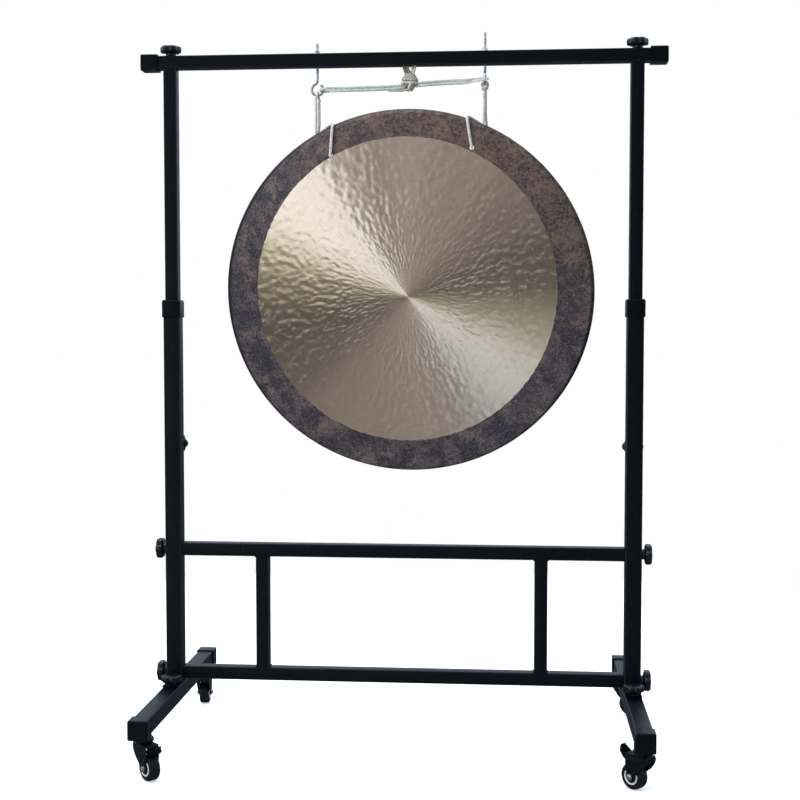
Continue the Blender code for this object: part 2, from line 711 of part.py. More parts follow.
def caster_fork(name, frame, pivot, with_pedal):
    """A pressed fork: a hood under the race and two legs to the axle."""
    boss = [(TRAIL + 0.0095 * math.cos(a), WHEEL_RADIUS + 0.0095 * math.sin(a))
            for a in (math.radians(-10 - 32 * i) for i in range(6))]
    outline = [(-0.022, FORK_TOP), (-0.022, 0.070), (-0.013, 0.055), *boss[::-1],
               (0.038, 0.062), (0.038, FORK_TOP)]
    mesh = outline_mesh(name, [outline], 2 * FORK_HALF)
    smooth(mesh)
    upright = frame @ Matrix.Rotation(math.pi / 2, 4, "X")
    fork = add_piece(name, mesh, "black_steel", upright, pivot)
    room = ((-0.04, -FORK_INNER_HALF, FORK_CEILING - 0.1), (0.06, FORK_INNER_HALF, FORK_CEILING))
    cut(fork, [box_filler(*room, frame)])
    pins = [((TRAIL, WHEEL_RADIUS), AXLE_RADIUS + GAP)]
    if with_pedal:
        pins.append((PEDAL_PIVOT, 0.0020 + GAP))
    cut(fork, [rod_filler((u, -0.03, z), (u, 0.03, z), radius, 10, frame)
               for (u, z), radius in pins])


def caster_wheel(name, frame, pivot):
    bore = AXLE_RADIUS + GAP
    half = WHEEL_HALF
    profile = ((bore, HUB_HALF), (0.0080, HUB_HALF), (0.0095, half - 0.003), (0.0180, half - 0.003),
               (0.0195, half), (0.0270, half), (WHEEL_RADIUS, half - 0.004),
               (WHEEL_RADIUS, 0.004 - half), (0.0270, -half), (0.0195, -half),
               (0.0180, 0.003 - half), (0.0095, 0.003 - half), (0.0080, -HUB_HALF),
               (bore, -HUB_HALF))
    matrix = frame @ Matrix.Translation((TRAIL, 0, WHEEL_RADIUS)) @ along((0, 1, 0))
    turned(name, profile, "tyre", matrix, 24, True, pivot)


def caster_axle(name, frame, pivot):
    """The axle bolt with its head and nut outside the fork's legs."""
    out = FORK_HALF + GAP
    tip = out + 0.0042
    profile = ((0, tip), (0.0050, tip), (0.0058, tip - 0.0012), (0.0058, out), (AXLE_RADIUS, out),
               (AXLE_RADIUS, -out), (0.0058, -out), (0.0058, 0.0012 - tip), (0.0050, -tip),
               (0, -tip))
    matrix = frame @ Matrix.Translation((TRAIL, 0, WHEEL_RADIUS)) @ along((0, 1, 0))
    turned(name, profile, "zinc", matrix, 10, False, pivot)


def brake_pedal(name, frame, pivot, pressed):
    """The brake lever of a front caster, on its pin through the fork's legs."""
    u, z = PEDAL_PIVOT
    outline = [(-0.005, -0.0050), (0.006, -0.0060), (0.018, 0.0030), (0.0288, 0.0210),
               (0.0265, 0.0250), (0.021, 0.0235), (0.011, 0.0100), (0.005, 0.0055),
               (-0.005, 0.0055)]
    mesh = outline_mesh(name, [outline], PEDAL_WIDTH)
    smooth(mesh)
    matrix = (frame @ Matrix.Translation((u, 0, z)) @ Matrix.Rotation(pressed, 4, "Y")
              @ Matrix.Rotation(math.pi / 2, 4, "X"))
    pedal = add_piece(name, mesh, "black_plastic", matrix, pivot)
    cut(pedal, [rod_filler((u, -0.0174, z), (u, 0.0174, z), 0.0020, 8, frame)], "UNION")


def casters():
    for place, (sign, y, heading) in CASTERS.items():
        x = sign * POST_X
        frame = Matrix.Translation((x, y, 0)) @ Matrix.Rotation(heading, 4, "Z")
        front = place.startswith("front")
        swivel = add_pivot(f"{place}_swivel_axis", (x, y, FORK_TOP))
        spin = add_pivot(f"{place}_wheel_axis", frame @ Vector((TRAIL, 0, WHEEL_RADIUS)))
        caster_mount(f"{place}_caster_mount", (x, y, 0))
        caster_fork(f"{place}_fork", frame, swivel, front)
        caster_axle(f"{place}_axle", frame, swivel)
        caster_wheel(f"{place}_wheel", frame, spin)
        if front:
            u, z = PEDAL_PIVOT
            press = add_pivot(f"{place}_pedal_axis", frame @ Vector((u, 0, z)))
            pressed = PEDAL_TRAVEL if place == "front_left" else 0
            brake_pedal(f"{place}_brake_pedal", frame, press, pressed)


def eye_line_middle():
    """The middle of the line through the bottom of the wire of both eyes."""
    return Vector((0, 0, (EYE_Z["left"] + EYE_Z["right"]) / 2 - EYE_RADIUS))


clear_scene()
PARTS = new_collection("tam_tam_gong")
CUTTERS = new_collection("cutters")
slide_pivot = add_pivot("upper_frame_slide_axis", (0, 0, COLLAR_TOP))
swing_pivot = add_pivot("gong_swing_axis", eye_line_middle())
feet()
base_plates()
lower_posts()
collars()
rails()
struts()
stand_knobs()
upper_posts(slide_pivot)
crossbar(slide_pivot)
top_knobs(slide_pivot)
eye_bolts(slide_pivot)
tie_cord(slide_pivot)
hanger_cord(slide_pivot)
gong(swing_pivot)
slings(swing_pivot)
casters()
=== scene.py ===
"""The looks of a tam tam gong on its wheeled stand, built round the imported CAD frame.

Every piece is placed from the frame's boxes and joints, in metres, and rides on a CAD body.
"""

import json
from math import atan2, copysign, cos, hypot, pi, radians, sin, sqrt, tau

import bmesh
import bpy
from mathutils import Matrix, Vector, noise


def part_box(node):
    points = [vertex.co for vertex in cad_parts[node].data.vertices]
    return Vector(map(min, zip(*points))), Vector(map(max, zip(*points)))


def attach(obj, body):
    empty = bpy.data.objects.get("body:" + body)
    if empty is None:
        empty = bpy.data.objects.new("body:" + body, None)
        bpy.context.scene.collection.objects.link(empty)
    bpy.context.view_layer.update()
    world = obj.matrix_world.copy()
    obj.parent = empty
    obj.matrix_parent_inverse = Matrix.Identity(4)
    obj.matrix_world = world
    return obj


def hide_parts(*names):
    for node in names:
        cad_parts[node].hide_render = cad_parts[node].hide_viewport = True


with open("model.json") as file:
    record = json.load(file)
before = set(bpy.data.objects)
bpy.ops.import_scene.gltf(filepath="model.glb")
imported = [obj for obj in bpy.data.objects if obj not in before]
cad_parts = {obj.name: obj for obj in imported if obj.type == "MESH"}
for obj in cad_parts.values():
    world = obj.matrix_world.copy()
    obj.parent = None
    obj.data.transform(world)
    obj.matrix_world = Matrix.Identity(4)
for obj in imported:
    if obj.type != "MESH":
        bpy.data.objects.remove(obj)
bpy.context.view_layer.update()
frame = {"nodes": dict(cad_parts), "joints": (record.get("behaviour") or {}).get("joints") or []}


moved = Matrix.Translation
SIDES = {"left": -1, "right": 1}
JOINTS = {joint["name"]: joint for joint in frame["joints"]}


def mm(*rows):
    """Rows of millimetres, in metres."""
    return [tuple(value / 1000 for value in row) for row in rows]


def middle(node):
    low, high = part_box(node)
    return (low + high) / 2


# Sizes that the frame's boxes do not give

TUBE_CORNER = 0.003
TUBE_WALL = 0.0015
CORD = 0.0032  # radius of the hanging cords
WIRE = 0.00325  # radius of the eye bolts
EYE_RADIUS = 0.0138
CORD_RING = WIRE + CORD + 0.0006
WRAP_RING = WIRE + CORD + 0.0002
CORD_CREST = CORD_RING + 0.0008
GONG_TILT = radians(9.5)
GONG_ROLL = radians(2.4)
GONG_WIDTH = 0.900
GONG_HEIGHT = 0.889
GONG_RADIUS = (GONG_WIDTH + GONG_HEIGHT) / 4
GONG_THICK = 0.0025
FACE_RADIUS = 0.3645
FACE_DOME = 0.018
SLOPE_DROP = 0.010
RIM_DEPTH = 0.060
RIM_BEND = 0.014
RIM_TAPER = 0.010
HOLE_FROM_CENTRE = 0.385
HOLE_SPREAD = radians(26)
HOLE_RADIUS = 0.0052
SLING_SPREAD = {"left": 0.0035, "right": 0.0017}
SLING_LEAD = {"left": 0.005, "right": -0.011}
EYE_TURN = {"left": 0.0, "right": radians(90)}
TRAIL = 0.025  # a caster's axle from its swivel axis
WHEEL_RADIUS = 0.030
CORNER_STEPS = 6
CORD_STEPS = 24  # points of a cord in one turn
WEAR_BAND = 0.0015  # only stations this close to the widest are rubbed
DISC_STEPS = 512
FACE_RINGS = 150
SLOPE_RINGS = 26
RIM_RINGS = 8
BACK_RINGS = 60

HOOK_X = middle("right_eye_bolt").x
BAR_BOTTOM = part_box("crossbar")[0].z
HANGER_X = middle("hanger_cord").x


# Geometry


def face_rings(bm, loops, caps=True, closed=False):
    """Joins loops of vertices, each with the same count, with quads."""
    count = len(loops[0])
    pairs = list(zip(loops, loops[1:]))
    if closed:
        pairs.append((loops[-1], loops[0]))
    for low, high in pairs:
        for i in range(count):
            j = (i + 1) % count
            bm.faces.new((low[i], low[j], high[j], high[i]))
    if caps and not closed:
        bm.faces.new(loops[0][::-1])
        bm.faces.new(loops[-1])


def mesh_from(bm, name, sharp=40):
    bmesh.ops.recalc_face_normals(bm, faces=bm.faces)
    mesh = bpy.data.meshes.new(name)
    bm.to_mesh(mesh)
    bm.free()
    mesh.shade_smooth()
    mesh.set_sharp_from_angle(angle=radians(sharp))
    return mesh


def add_object(name, data):
    thing = bpy.data.objects.new(name, data)
    bpy.context.scene.collection.objects.link(thing)
    return thing


def place_piece(mesh, material, body, nodes=(), matrix=None):
    """Adds a mesh as a piece of its name that rides on a body and stands for some CAD nodes."""
    piece = add_object(mesh.name, mesh)
    piece.matrix_world = matrix or Matrix()
    mesh.materials.append(material)
    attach(piece, body)
    if nodes:
        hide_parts(*nodes)
    return piece


def revolve(name, rings, segments, shape=None, closed=False):
    """A shape turned about Z from (z, radius, ...) rings. shape(radius, angle, ...) bends one."""
    bm = bmesh.new()
    loops = []
    for z, radius, *rest in rings:
        loop = []
        for step in range(segments):
            angle = step * tau / segments
            reach = shape(radius, angle, *rest) if shape else radius
            loop.append(bm.verts.new((reach * cos(angle), reach * sin(angle), z)))
        loops.append(loop)
    face_rings(bm, loops, closed=closed)
    return mesh_from(bm, name)


def rounded_square(half, corner):
    """Corner points of a square with round corners, counter-clockwise."""
    points = []
    reach = (half - corner) * sqrt(2)
    for quarter in range(4):
        turn = quarter * pi / 2 + pi / 4
        for step in range(CORNER_STEPS + 1):
            angle = turn - pi / 4 + step / CORNER_STEPS * pi / 2
            points.append((reach * cos(turn) + corner * cos(angle),
                           reach * sin(turn) + corner * sin(angle)))
    return points


def loft(name, stations, matrix, closed=False):
    """A square shape along Z from (z, half side, corner radius) stations."""
    bm = bmesh.new()
    wear = bm.verts.layers.float.new("wear")
    loops = []
    widest = max(half for _, half, _ in stations)
    for z, half, corner in stations:
        loop = [bm.verts.new((x, y, z)) for x, y in rounded_square(half, corner)]
        rubbed = 1 if half > widest - WEAR_BAND else 0
        for i, vertex in enumerate(loop):
            vertex[wear] = rubbed * sin(i % (CORNER_STEPS + 1) / CORNER_STEPS * pi)
        loops.append(loop)
    face_rings(bm, loops, closed=closed)
    bm.transform(matrix)
    return mesh_from(bm, name)


def along(axis):
    return Vector(axis).to_track_quat("Z", "Y").to_matrix().to_4x4()


def sweep(name, route, section, segments, closed=False, sharp=60):
    """A round section along a route. section(distance, angle) gives its radius."""
    points = [Vector(p) for p in route]
    count = len(points)
    first, last = (points[-1:], points[:1]) if closed else (points[:1], points[-1:])
    around = [*first, *points, *last]
    tangents = [(after - before).normalized() for before, after in zip(around, around[2:])]
    side = tangents[0].orthogonal().normalized()
    sides = [side]
    for before, after in zip(tangents, tangents[1:]):
        side = before.rotation_difference(after) @ side
        sides.append((side - side.dot(after) * after).normalized())
    twist = 0.0
    if closed:
        last = tangents[-1].rotation_difference(tangents[0]) @ sides[-1]
        twist = atan2(last.cross(sides[0]).dot(tangents[0]), last.dot(sides[0]))
    bm = bmesh.new()
    loops = []
    distance = 0.0
    for i, (point, tangent, side) in enumerate(zip(points, tangents, sides)):
        if i:
            distance += (point - points[i - 1]).length
        turned = Matrix.Rotation(twist * i / count, 3, tangent) @ side
        other = tangent.cross(turned)
        loop = []
        for step in range(segments):
            angle = step * tau / segments
            reach = section(distance, angle)
            loop.append(bm.verts.new(point + reach * (cos(angle) * turned
                                                      + sin(angle) * other)))
        loops.append(loop)
    face_rings(bm, loops, closed=closed)
    return mesh_from(bm, name, sharp)


def smooth_route(points, closed, steps):
    """Points on a smooth curve through the route's own points."""
    points = [Vector(p) for p in points]
    count = len(points)
    route = []
    for i in range(count if closed else count - 1):
        near = range(i - 1, i + 3)
        a, b, c, d = (points[k % count if closed else min(max(k, 0), count - 1)] for k in near)
        for step in range(steps):
            t = step / steps
            route.append(0.5 * (2 * b + (c - a) * t + (2 * a - 5 * b + 4 * c - d) * t * t
                                + (3 * b - a - 3 * c + d) * t ** 3))
    if not closed:
        route.append(points[-1])
    return route


def ring_route(centre, wide, deep, lean):
    """Points of a closed ring round an upright axis, which leans by its last size."""
    turn = [step * tau / CORD_STEPS for step in range(CORD_STEPS)]
    return [Vector(centre) + Vector((wide * cos(a), deep * sin(a), lean * cos(a)))
            for a in turn]


def even_route(route, spacing, closed):
    """The same path with points at an even spacing."""
    points = [Vector(p) for p in route]
    if closed:
        points.append(points[0])
    lengths = [(b - a).length for a, b in zip(points, points[1:])]
    total = sum(lengths)
    count = max(4, round(total / spacing))
    result = []
    index, start = 0, 0.0
    for step in range(count if closed else count + 1):
        target = total * step / count
        while index < len(lengths) - 1 and start + lengths[index] < target:
            start += lengths[index]
            index += 1
        part = (target - start) / max(lengths[index], 1e-9)
        result.append(points[index].lerp(points[index + 1], min(part, 1.0)))
    return result


def plate(name, outline, depth, bevel, matrix, segments=3):
    """A flat outline in XY, extruded half its depth each way, with rounded edges."""
    bm = bmesh.new()
    bottom = [bm.verts.new((x, y, -depth / 2)) for x, y in outline]
    top = [bm.verts.new((x, y, depth / 2)) for x, y in outline]
    face_rings(bm, [bottom, top])
    rims = [edge for edge in bm.edges if abs(edge.verts[0].co.z - edge.verts[1].co.z) < 1e-9]
    bmesh.ops.bevel(bm, geom=rims, offset=bevel, segments=segments, affect="EDGES", profile=0.5)
    bm.transform(matrix)
    return mesh_from(bm, name, 35)


def join(name, *meshes):
    """One mesh made of several."""
    bm = bmesh.new()
    for mesh in meshes:
        bm.from_mesh(mesh)
        bpy.data.meshes.remove(mesh)
    return mesh_from(bm, name)


def arc(centre, radius, start, end, steps):
    """Points on an arc, in degrees."""
    turn = [radians(start + (end - start) * i / steps) for i in range(steps + 1)]
    return [(centre[0] + radius * cos(a), centre[1] + radius * sin(a)) for a in turn]


# Materials


def colour(value):
    if isinstance(value, (int, float)):
        value = (value, value, value)
    return (*value[:3], 1)


class Tree:
    """Shader nodes that are added step by step."""

    def __init__(self, tree):
        self.nodes = tree.nodes
        self.links = tree.links

    def put(self, kind, inputs=(), output=0, **settings):
        """Adds a node, sets it, links or fills its inputs, and returns one output."""
        node = self.nodes.new("ShaderNode" + kind)
        for key, value in settings.items():
            setattr(node, key, value)
        for key, value in dict(inputs).items():
            self.feed(node.inputs[key], value)
        return node.outputs[output]

    def feed(self, socket, value):
        if isinstance(value, bpy.types.NodeSocket):
            self.links.new(value, socket)
        else:
            socket.default_value = colour(value) if socket.type == "RGBA" else value

    def math(self, operation, first, second=0.0, third=0.0):
        inputs = {0: first, 1: second, 2: third}
        return self.put("Math", inputs, operation=operation)

    def ramp(self, factor, stops):
        output = self.put("ValToRGB", {0: factor})
        elements = output.node.color_ramp.elements
        elements.remove(elements[-1])
        elements[0].position = stops[0][0]
        elements[0].color = colour(stops[0][1])
        for position, value in stops[1:]:
            elements.new(position).color = colour(value)
        return output

    def mix(self, factor, first, second, blend="MIX"):
        node = self.put("Mix", data_type="RGBA", blend_type=blend).node
        self.feed(node.inputs["Factor"], factor)
        for key, value in (("A", first), ("B", second)):
            self.feed([s for s in node.inputs if s.name == key and s.type == "RGBA"][0], value)
        return [s for s in node.outputs if s.type == "RGBA"][0]


class Finish(Tree):
    """A procedural material."""

    def __init__(self, name):
        self.material = bpy.data.materials.new(name)
        self.material.use_nodes = True
        super().__init__(self.material.node_tree)
        self.shader = self.nodes["Principled BSDF"]
        self.place = self.put("TexCoord", output="Object")

    def noise(self, scale, detail=3, roughness=0.55, vector=None):
        inputs = {"Vector": vector or self.place, "Scale": scale, "Detail": detail,
                  "Roughness": roughness}
        return self.put("TexNoise", inputs)

    def stretch(self, scale):
        """The object's own coordinates, stretched."""
        return self.put("Mapping", {"Vector": self.place, "Scale": scale})

    def aside(self, shift):
        """The object's own coordinates, shifted."""
        return self.put("VectorMath", {0: self.place, 1: shift})

    def across(self):
        """The distance from the object's Z axis, and the Y coordinate beside X."""
        x = self.put("SeparateXYZ", {"Vector": self.place})
        y = x.node.outputs["Y"]
        squares = self.math("ADD", self.math("MULTIPLY", x, x), self.math("MULTIPLY", y, y))
        return self.math("SQRT", squares), x, y

    def patches(self, base, grain, low, high, amount, tint):
        """Lays a tint over base where grain passes from low to high."""
        factor = self.math("MULTIPLY", self.ramp(grain, ((low, 0), (high, 1))), amount)
        return self.mix(factor, base, tint)

    def between(self, factor, low, high):
        """A number between low and high."""
        inputs = {"Value": factor, "To Min": low, "To Max": high}
        return self.put("MapRange", inputs)

    def bump(self, height, distance, strength=1.0, normal=None):
        inputs = {"Height": height, "Distance": distance, "Strength": strength}
        if normal:
            inputs["Normal"] = normal
        return self.put("Bump", inputs)

    def set(self, base, rough, relief=None, **values):
        """Fills the shader's sockets, the others by name with _ for a space."""
        values |= {"Base_Color": base, "Roughness": rough}
        if relief:
            values["Normal"] = relief
        for key, value in values.items():
            self.feed(self.shader.inputs[key.replace("_", " ")], value)
        return self.material


def rubbed_edges(f, base, light):
    """Lightens the corners of a lofted shape, patchily."""
    wear = f.put("Attribute", output="Fac", attribute_name="wear")
    amount = f.math("MULTIPLY", f.between(f.noise(28, 4, 0.6), -0.2, 1.2), 0.6)
    return f.mix(f.math("MULTIPLY", wear, amount), base, light)


def powder_coat():
    """Satin black powder coat: orange peel, faint scuffs and dust."""
    f = Finish("black_coat")
    base = f.mix(f.noise(9, 4), (0.0012, 0.0015, 0.0025), (0.0030, 0.0038, 0.0060))
    scuff = f.noise(60, 6, 0.7, f.stretch((1, 1, 0.25)))
    base = f.patches(base, scuff, 0.60, 0.74, 0.25, (0.022, 0.022, 0.026))
    base = rubbed_edges(f, base, (0.035, 0.042, 0.060))
    rough = f.between(f.noise(35, 4), 0.30, 0.48)
    peel = f.bump(f.noise(850, 2, 0.5), 0.00010, 0.6)
    return f.set(base, rough, peel, Specular_IOR_Level=0.12, Specular_Tint=COOL)


def moulded_plastic(name, gloss, smoothest):
    """Black moulded plastic with a fine spark-eroded grain."""
    f = Finish(name)
    base = f.mix(f.noise(40, 4), (0.0010, 0.0012, 0.0020), (0.0028, 0.0035, 0.0055))
    base = f.patches(base, f.noise(260, 5, 0.75), 0.62, 0.78, 0.12, (0.03, 0.034, 0.042))
    base = rubbed_edges(f, base, (0.030, 0.038, 0.055))
    rough = f.between(f.noise(70, 3), smoothest, smoothest + 0.20)
    grain = f.bump(f.noise(2200, 2, 0.6), 0.00006, 0.7)
    return f.set(base, rough, grain, Specular_IOR_Level=gloss, Specular_Tint=COOL)


def black_steel():
    """Black-plated pressed steel with rubbed patches."""
    f = Finish("black_steel")
    base = f.patches((0.0014, 0.0016, 0.0024), f.noise(130, 6, 0.7), 0.54, 0.72, 0.5,
                     (0.022, 0.026, 0.034))
    rough = f.between(f.noise(90, 4), 0.22, 0.45)
    brush = f.bump(f.noise(900, 3, 0.6, f.stretch((1, 1, 0.2))), 0.00005, 0.5)
    return f.set(base, rough, brush, Specular_IOR_Level=0.28, Specular_Tint=COOL)


def zinc():
    """Bright zinc plate with a faint blue-green passivate and dull spots."""
    f = Finish("zinc")
    tint = f.mix(f.noise(120, 3), (0.50, 0.56, 0.58), (0.72, 0.70, 0.66))
    base = f.patches(tint, f.noise(520, 5, 0.7), 0.50, 0.72, 0.55, (0.20, 0.20, 0.19))
    rough = f.between(f.noise(300, 4), 0.20, 0.50)
    pits = f.bump(f.noise(1500, 3), 0.00004, 0.5)
    return f.set(base, rough, pits, Metallic=1.0)


def chrome():
    """Bright plated ring, fingermarked."""
    f = Finish("chrome")
    base = f.mix(f.noise(200, 4), (0.80, 0.82, 0.84), (0.93, 0.94, 0.95))
    rough = f.between(f.noise(260, 5, 0.7), 0.12, 0.38)
    marks = f.bump(f.noise(900, 3), 0.00003, 0.5)
    return f.set(base, rough, marks, Metallic=0.55)


def tyre():
    """Hard black rubber, slightly dusty."""
    f = Finish("tyre")
    base = f.patches((0.0024, 0.0028, 0.0040), f.noise(160, 5, 0.7), 0.48, 0.75, 0.4,
                     (0.018, 0.020, 0.025))
    rough = f.between(f.noise(110, 3), 0.42, 0.66)
    grain = f.bump(f.noise(1300, 3), 0.00008, 0.6)
    return f.set(base, rough, grain, Specular_IOR_Level=0.3, Specular_Tint=COOL)


def cord_finish(name, light, dark):
    """Braided polyester cord: its fibres, fuzz and grime."""
    f = Finish(name)
    base = f.patches(light, f.noise(75, 5, 0.65), 0.38, 0.70, 0.75, dark)
    fibre = f.noise(1500, 4, 0.7, f.stretch((1, 1, 0.3)))
    base = f.mix(0.3, base, f.mix(fibre, dark, light))
    rough = f.between(fibre, 0.55, 0.85)
    thread = f.bump(fibre, 0.00025, 0.8)
    return f.set(base, rough, thread, Sheen_Weight=0.25)


def bronze():
    """Lathe-scraped bronze: fine circular lines that stretch every highlight outwards, with
    painted highlights along some of the lines.
    """
    f = Finish("bronze")
    radius = f.across()[0]
    drift = f.math("MULTIPLY", f.noise(9, 2), 0.0035)
    place = f.put("CombineXYZ", {"X": f.math("ADD", radius, drift)})
    fine = f.noise(1100, 4, 0.7, place)
    base = f.mix(f.noise(7, 5, 0.6), (0.80, 0.655, 0.52), (0.86, 0.725, 0.585))
    base = f.patches(base, f.noise(170, 3, 0.6, place), 0.47, 0.60, 0.17, (0.62, 0.50, 0.38))
    base = f.patches(base, f.noise(150, 6, 0.7), 0.60, 0.76, 0.22, (0.52, 0.40, 0.28))
    # painted highlight: near-white circular lines mixed into the base colour, in patches
    line = f.ramp(f.noise(420, 2, 0.5, place), ((0.57, 0), (0.63, 1)))
    where = f.ramp(f.noise(6, 3), ((0.48, 0), (0.62, 1)))
    painted_glint = f.math("MULTIPLY", f.math("MULTIPLY", line, where), 0.6)
    base = f.mix(painted_glint, base, (1.0, 0.95, 0.86))
    rough = f.between(fine, 0.25, 0.33)
    lines = f.bump(fine, 0.00012, 0.5)
    marks = f.bump(f.noise(95, 3, 0.5), 0.0006, 0.18, lines)
    tangent = f.put("Tangent", direction_type="RADIAL", axis="Z")
    return f.set(base, rough, marks, Metallic=1.0, Anisotropic=1.0,
                 Anisotropic_Rotation=0.25, Tangent=tangent)


def patina():
    """The unscraped border: fire scale mottled blue-black, brown and purple."""
    f = Finish("patina")
    small = f.noise(120, 8, 0.78)
    grit = f.noise(300, 7, 0.8)
    pale = f.noise(15, 6, 0.7, f.aside((0.7, 5.2, 2.4)))
    deep = f.noise(17, 7, 0.72, f.aside((4.7, 0.2, 1.4)))
    blue = f.noise(30, 7, 0.72, f.aside((3.1, 1.7, 0.4)))
    base = f.ramp(f.noise(26, 6, 0.62), (
        (0.36, (0.028, 0.030, 0.046)), (0.46, (0.060, 0.053, 0.068)),
        (0.54, (0.100, 0.078, 0.080)), (0.64, (0.068, 0.060, 0.078))))
    for grain, stops, tint in (
            (small, ((0.50, 0), (0.60, 0.50)), (0.200, 0.148, 0.126)),
            (pale, ((0.49, 0), (0.60, 0.55)), (0.225, 0.163, 0.136)),
            (deep, ((0.50, 0), (0.56, 0.84)), (0.020, 0.023, 0.042)),
            (blue, ((0.52, 0), (0.58, 0.85)), (0.036, 0.033, 0.056)),
            (grit, ((0.53, 0), (0.64, 0.8)), (0.280, 0.200, 0.160)),
            (grit, ((0.40, 0.95), (0.48, 0)), (0.011, 0.011, 0.018))):
        base = f.mix(f.ramp(grain, stops), base, tint)
    radius, x, y = f.across()
    rim = f.ramp(f.math("MULTIPLY", radius, 2.0), ((0.876, 0), (0.886, 0.95)))
    base = f.mix(rim, base, (0.010, 0.010, 0.016))
    top = f.ramp(f.math("ADD", f.math("MULTIPLY_ADD", x, 0.5, y), 0.5), ((0.60, 0), (0.95, 0.6)))
    dusty = f.math("MULTIPLY", top, f.ramp(small, ((0.44, 0), (0.56, 1))))
    base = f.mix(dusty, base, (0.22, 0.17, 0.145))
    # painted light: this warm multiply makes the upper right of the border lighter and warmer
    base = f.mix(top, base, (1.20, 1.0, 0.80), "MULTIPLY")
    rough = f.mix(rim, f.between(small, 0.36, 0.60), 0.85)
    relief = f.math("ADD", f.math("MULTIPLY", small, 0.7), f.math("MULTIPLY", grit, 0.3))
    return f.set(base, rough, f.bump(relief, 0.0007, 0.7), Metallic=0.35)


COOL = (0.72, 0.86, 1.0)  # tint of the highlights on black
COAT = powder_coat()
PLASTIC = moulded_plastic("black_plastic", 0.10, 0.26)
KNOB = moulded_plastic("knob_plastic", 0.45, 0.18)
STEEL = black_steel()
ZINC = zinc()
TYRE = tyre()
CHROME = chrome()
CORD_WHITE = cord_finish("cord", (0.72, 0.70, 0.66), (0.34, 0.31, 0.28))
CORD_GREY = cord_finish("cord_grey", (0.46, 0.48, 0.45), (0.22, 0.23, 0.21))
CORD_TIE = cord_finish("cord_tie", (0.66, 0.70, 0.68), (0.30, 0.32, 0.31))
# a dark brown copy of the cord: painted shade on the hanger's left legs and outer turns
CORD_SHADED_BROWN = cord_finish("cord_shaded_brown", (0.30, 0.26, 0.20), (0.06, 0.045, 0.035))
BRONZE = bronze()
PATINA = patina()


# Stand


def square_tube(node, body):
    """A square tube with a wall, in place of the CAD node's own."""
    low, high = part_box(node)
    size = high - low
    axis = max(range(3), key=lambda i: size[i])
    half = min(size) / 2
    reach = size[axis] / 2
    edge = 0.0006
    outer = (half, TUBE_CORNER)
    chamfer = (half - edge, TUBE_CORNER - edge)
    bore = (half - TUBE_WALL, TUBE_CORNER - TUBE_WALL)
    stations = [(-reach, *chamfer), (edge - reach, *outer)]
    stations += [(-reach + size[axis] * i / 8, *outer) for i in range(1, 8)]
    stations += [(reach - edge, *outer), (reach, *chamfer), (reach, *bore), (-reach, *bore)]
    direction = [(1, 0, 0), (0, 1, 0), (0, 0, 1)][axis]
    matrix = moved(middle(node)) @ along(direction)
    place_piece(loft(node + "_tube", stations, matrix, closed=True), COAT, body, [node])


def weld(name, place, half, body):
    """A rippled weld bead round the end of an upright tube."""
    outline = rounded_square(half + 0.0004, TUBE_CORNER)
    route = even_route([(place.x + x, place.y + y, place.z) for x, y in outline], 0.0008, True)
    seed = place.x * 7

    def bead(distance, angle):
        ripple = 0.00035 * sin(distance / 0.0026 * tau / 2)
        return 0.0021 + ripple + 0.0004 * noise.noise(Vector((distance * 180, seed, 0)))

    place_piece(sweep(name, route, bead, 8, closed=True), COAT, body)


def end_cap(node, outward, body):
    """A plastic cap over a tube's end, with a shallow recess in its face."""
    low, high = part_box(node)
    outward = Vector(outward)
    size = high - low
    length = abs(size.dot(outward))
    half = max(size.x, size.z) / 2 if abs(outward.y) > 0.5 else size.z / 2
    matrix = moved(middle(node) + outward * length / 2) @ along(-outward)
    face = mm((0.3, 10.5, 2), (0.3, 8.5, 2), (0, 7.8, 2), (0, 4, 1.8), (0.4, 2.2, 2.4),
              (1.3, 0.8, 3), (2.8, 0.1, 3.4), (4.5, 0, 3.4))
    skirt = mm((6.2, 0, 3.4), (5.6, 0.6, 3), (4.6, 0.6, 3), (4, 0, 3.4), (0.8, 0, 3.4),
               (0, 0.8, 3), (0, 2.6, 1.6))
    stations = [(z, half - inset, corner) for z, inset, corner in face]
    stations += [(length - z, half - inset, corner) for z, inset, corner in skirt]
    stations.append((0.0030, half - 0.0026, 0.0016))
    place_piece(loft(node + "_moulding", stations, matrix), PLASTIC, body, [node])


def collar(node, body):
    """The plastic guide at the top of a lower post."""
    low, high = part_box(node)
    half = (high.x - low.x) / 2
    height = high.z - low.z
    lip = middle("right_upper_post").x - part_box("right_upper_post")[0].x + 0.0003
    over = half - 0.0027
    shelf = height - 0.0077
    foot = mm((0, 1.2, 3), (1, 0.2, 3.5), (2.2, 0, 3.6), (12, 0, 3.6), (12.4, 0.7, 3),
              (13.6, 0.7, 3), (14, 0, 3.6))
    head = mm((6, 0, 3.6), (2.4, 0.6, 3.6), (0.8, 2, 3), (0, 4, 2.6))
    stations = [(0.0, over, 0.003)]
    stations += [(z, half - inset, corner) for z, inset, corner in foot]
    stations += [(height - z, half - inset, corner) for z, inset, corner in head]
    stations += [(height, lip, 0.0022), (shelf, lip, 0.0022), (shelf, over, 0.003)]
    matrix = moved((middle(node).x, middle(node).y, low.z))
    place_piece(loft(node + "_moulding", stations, matrix, closed=True), PLASTIC, body, [node])


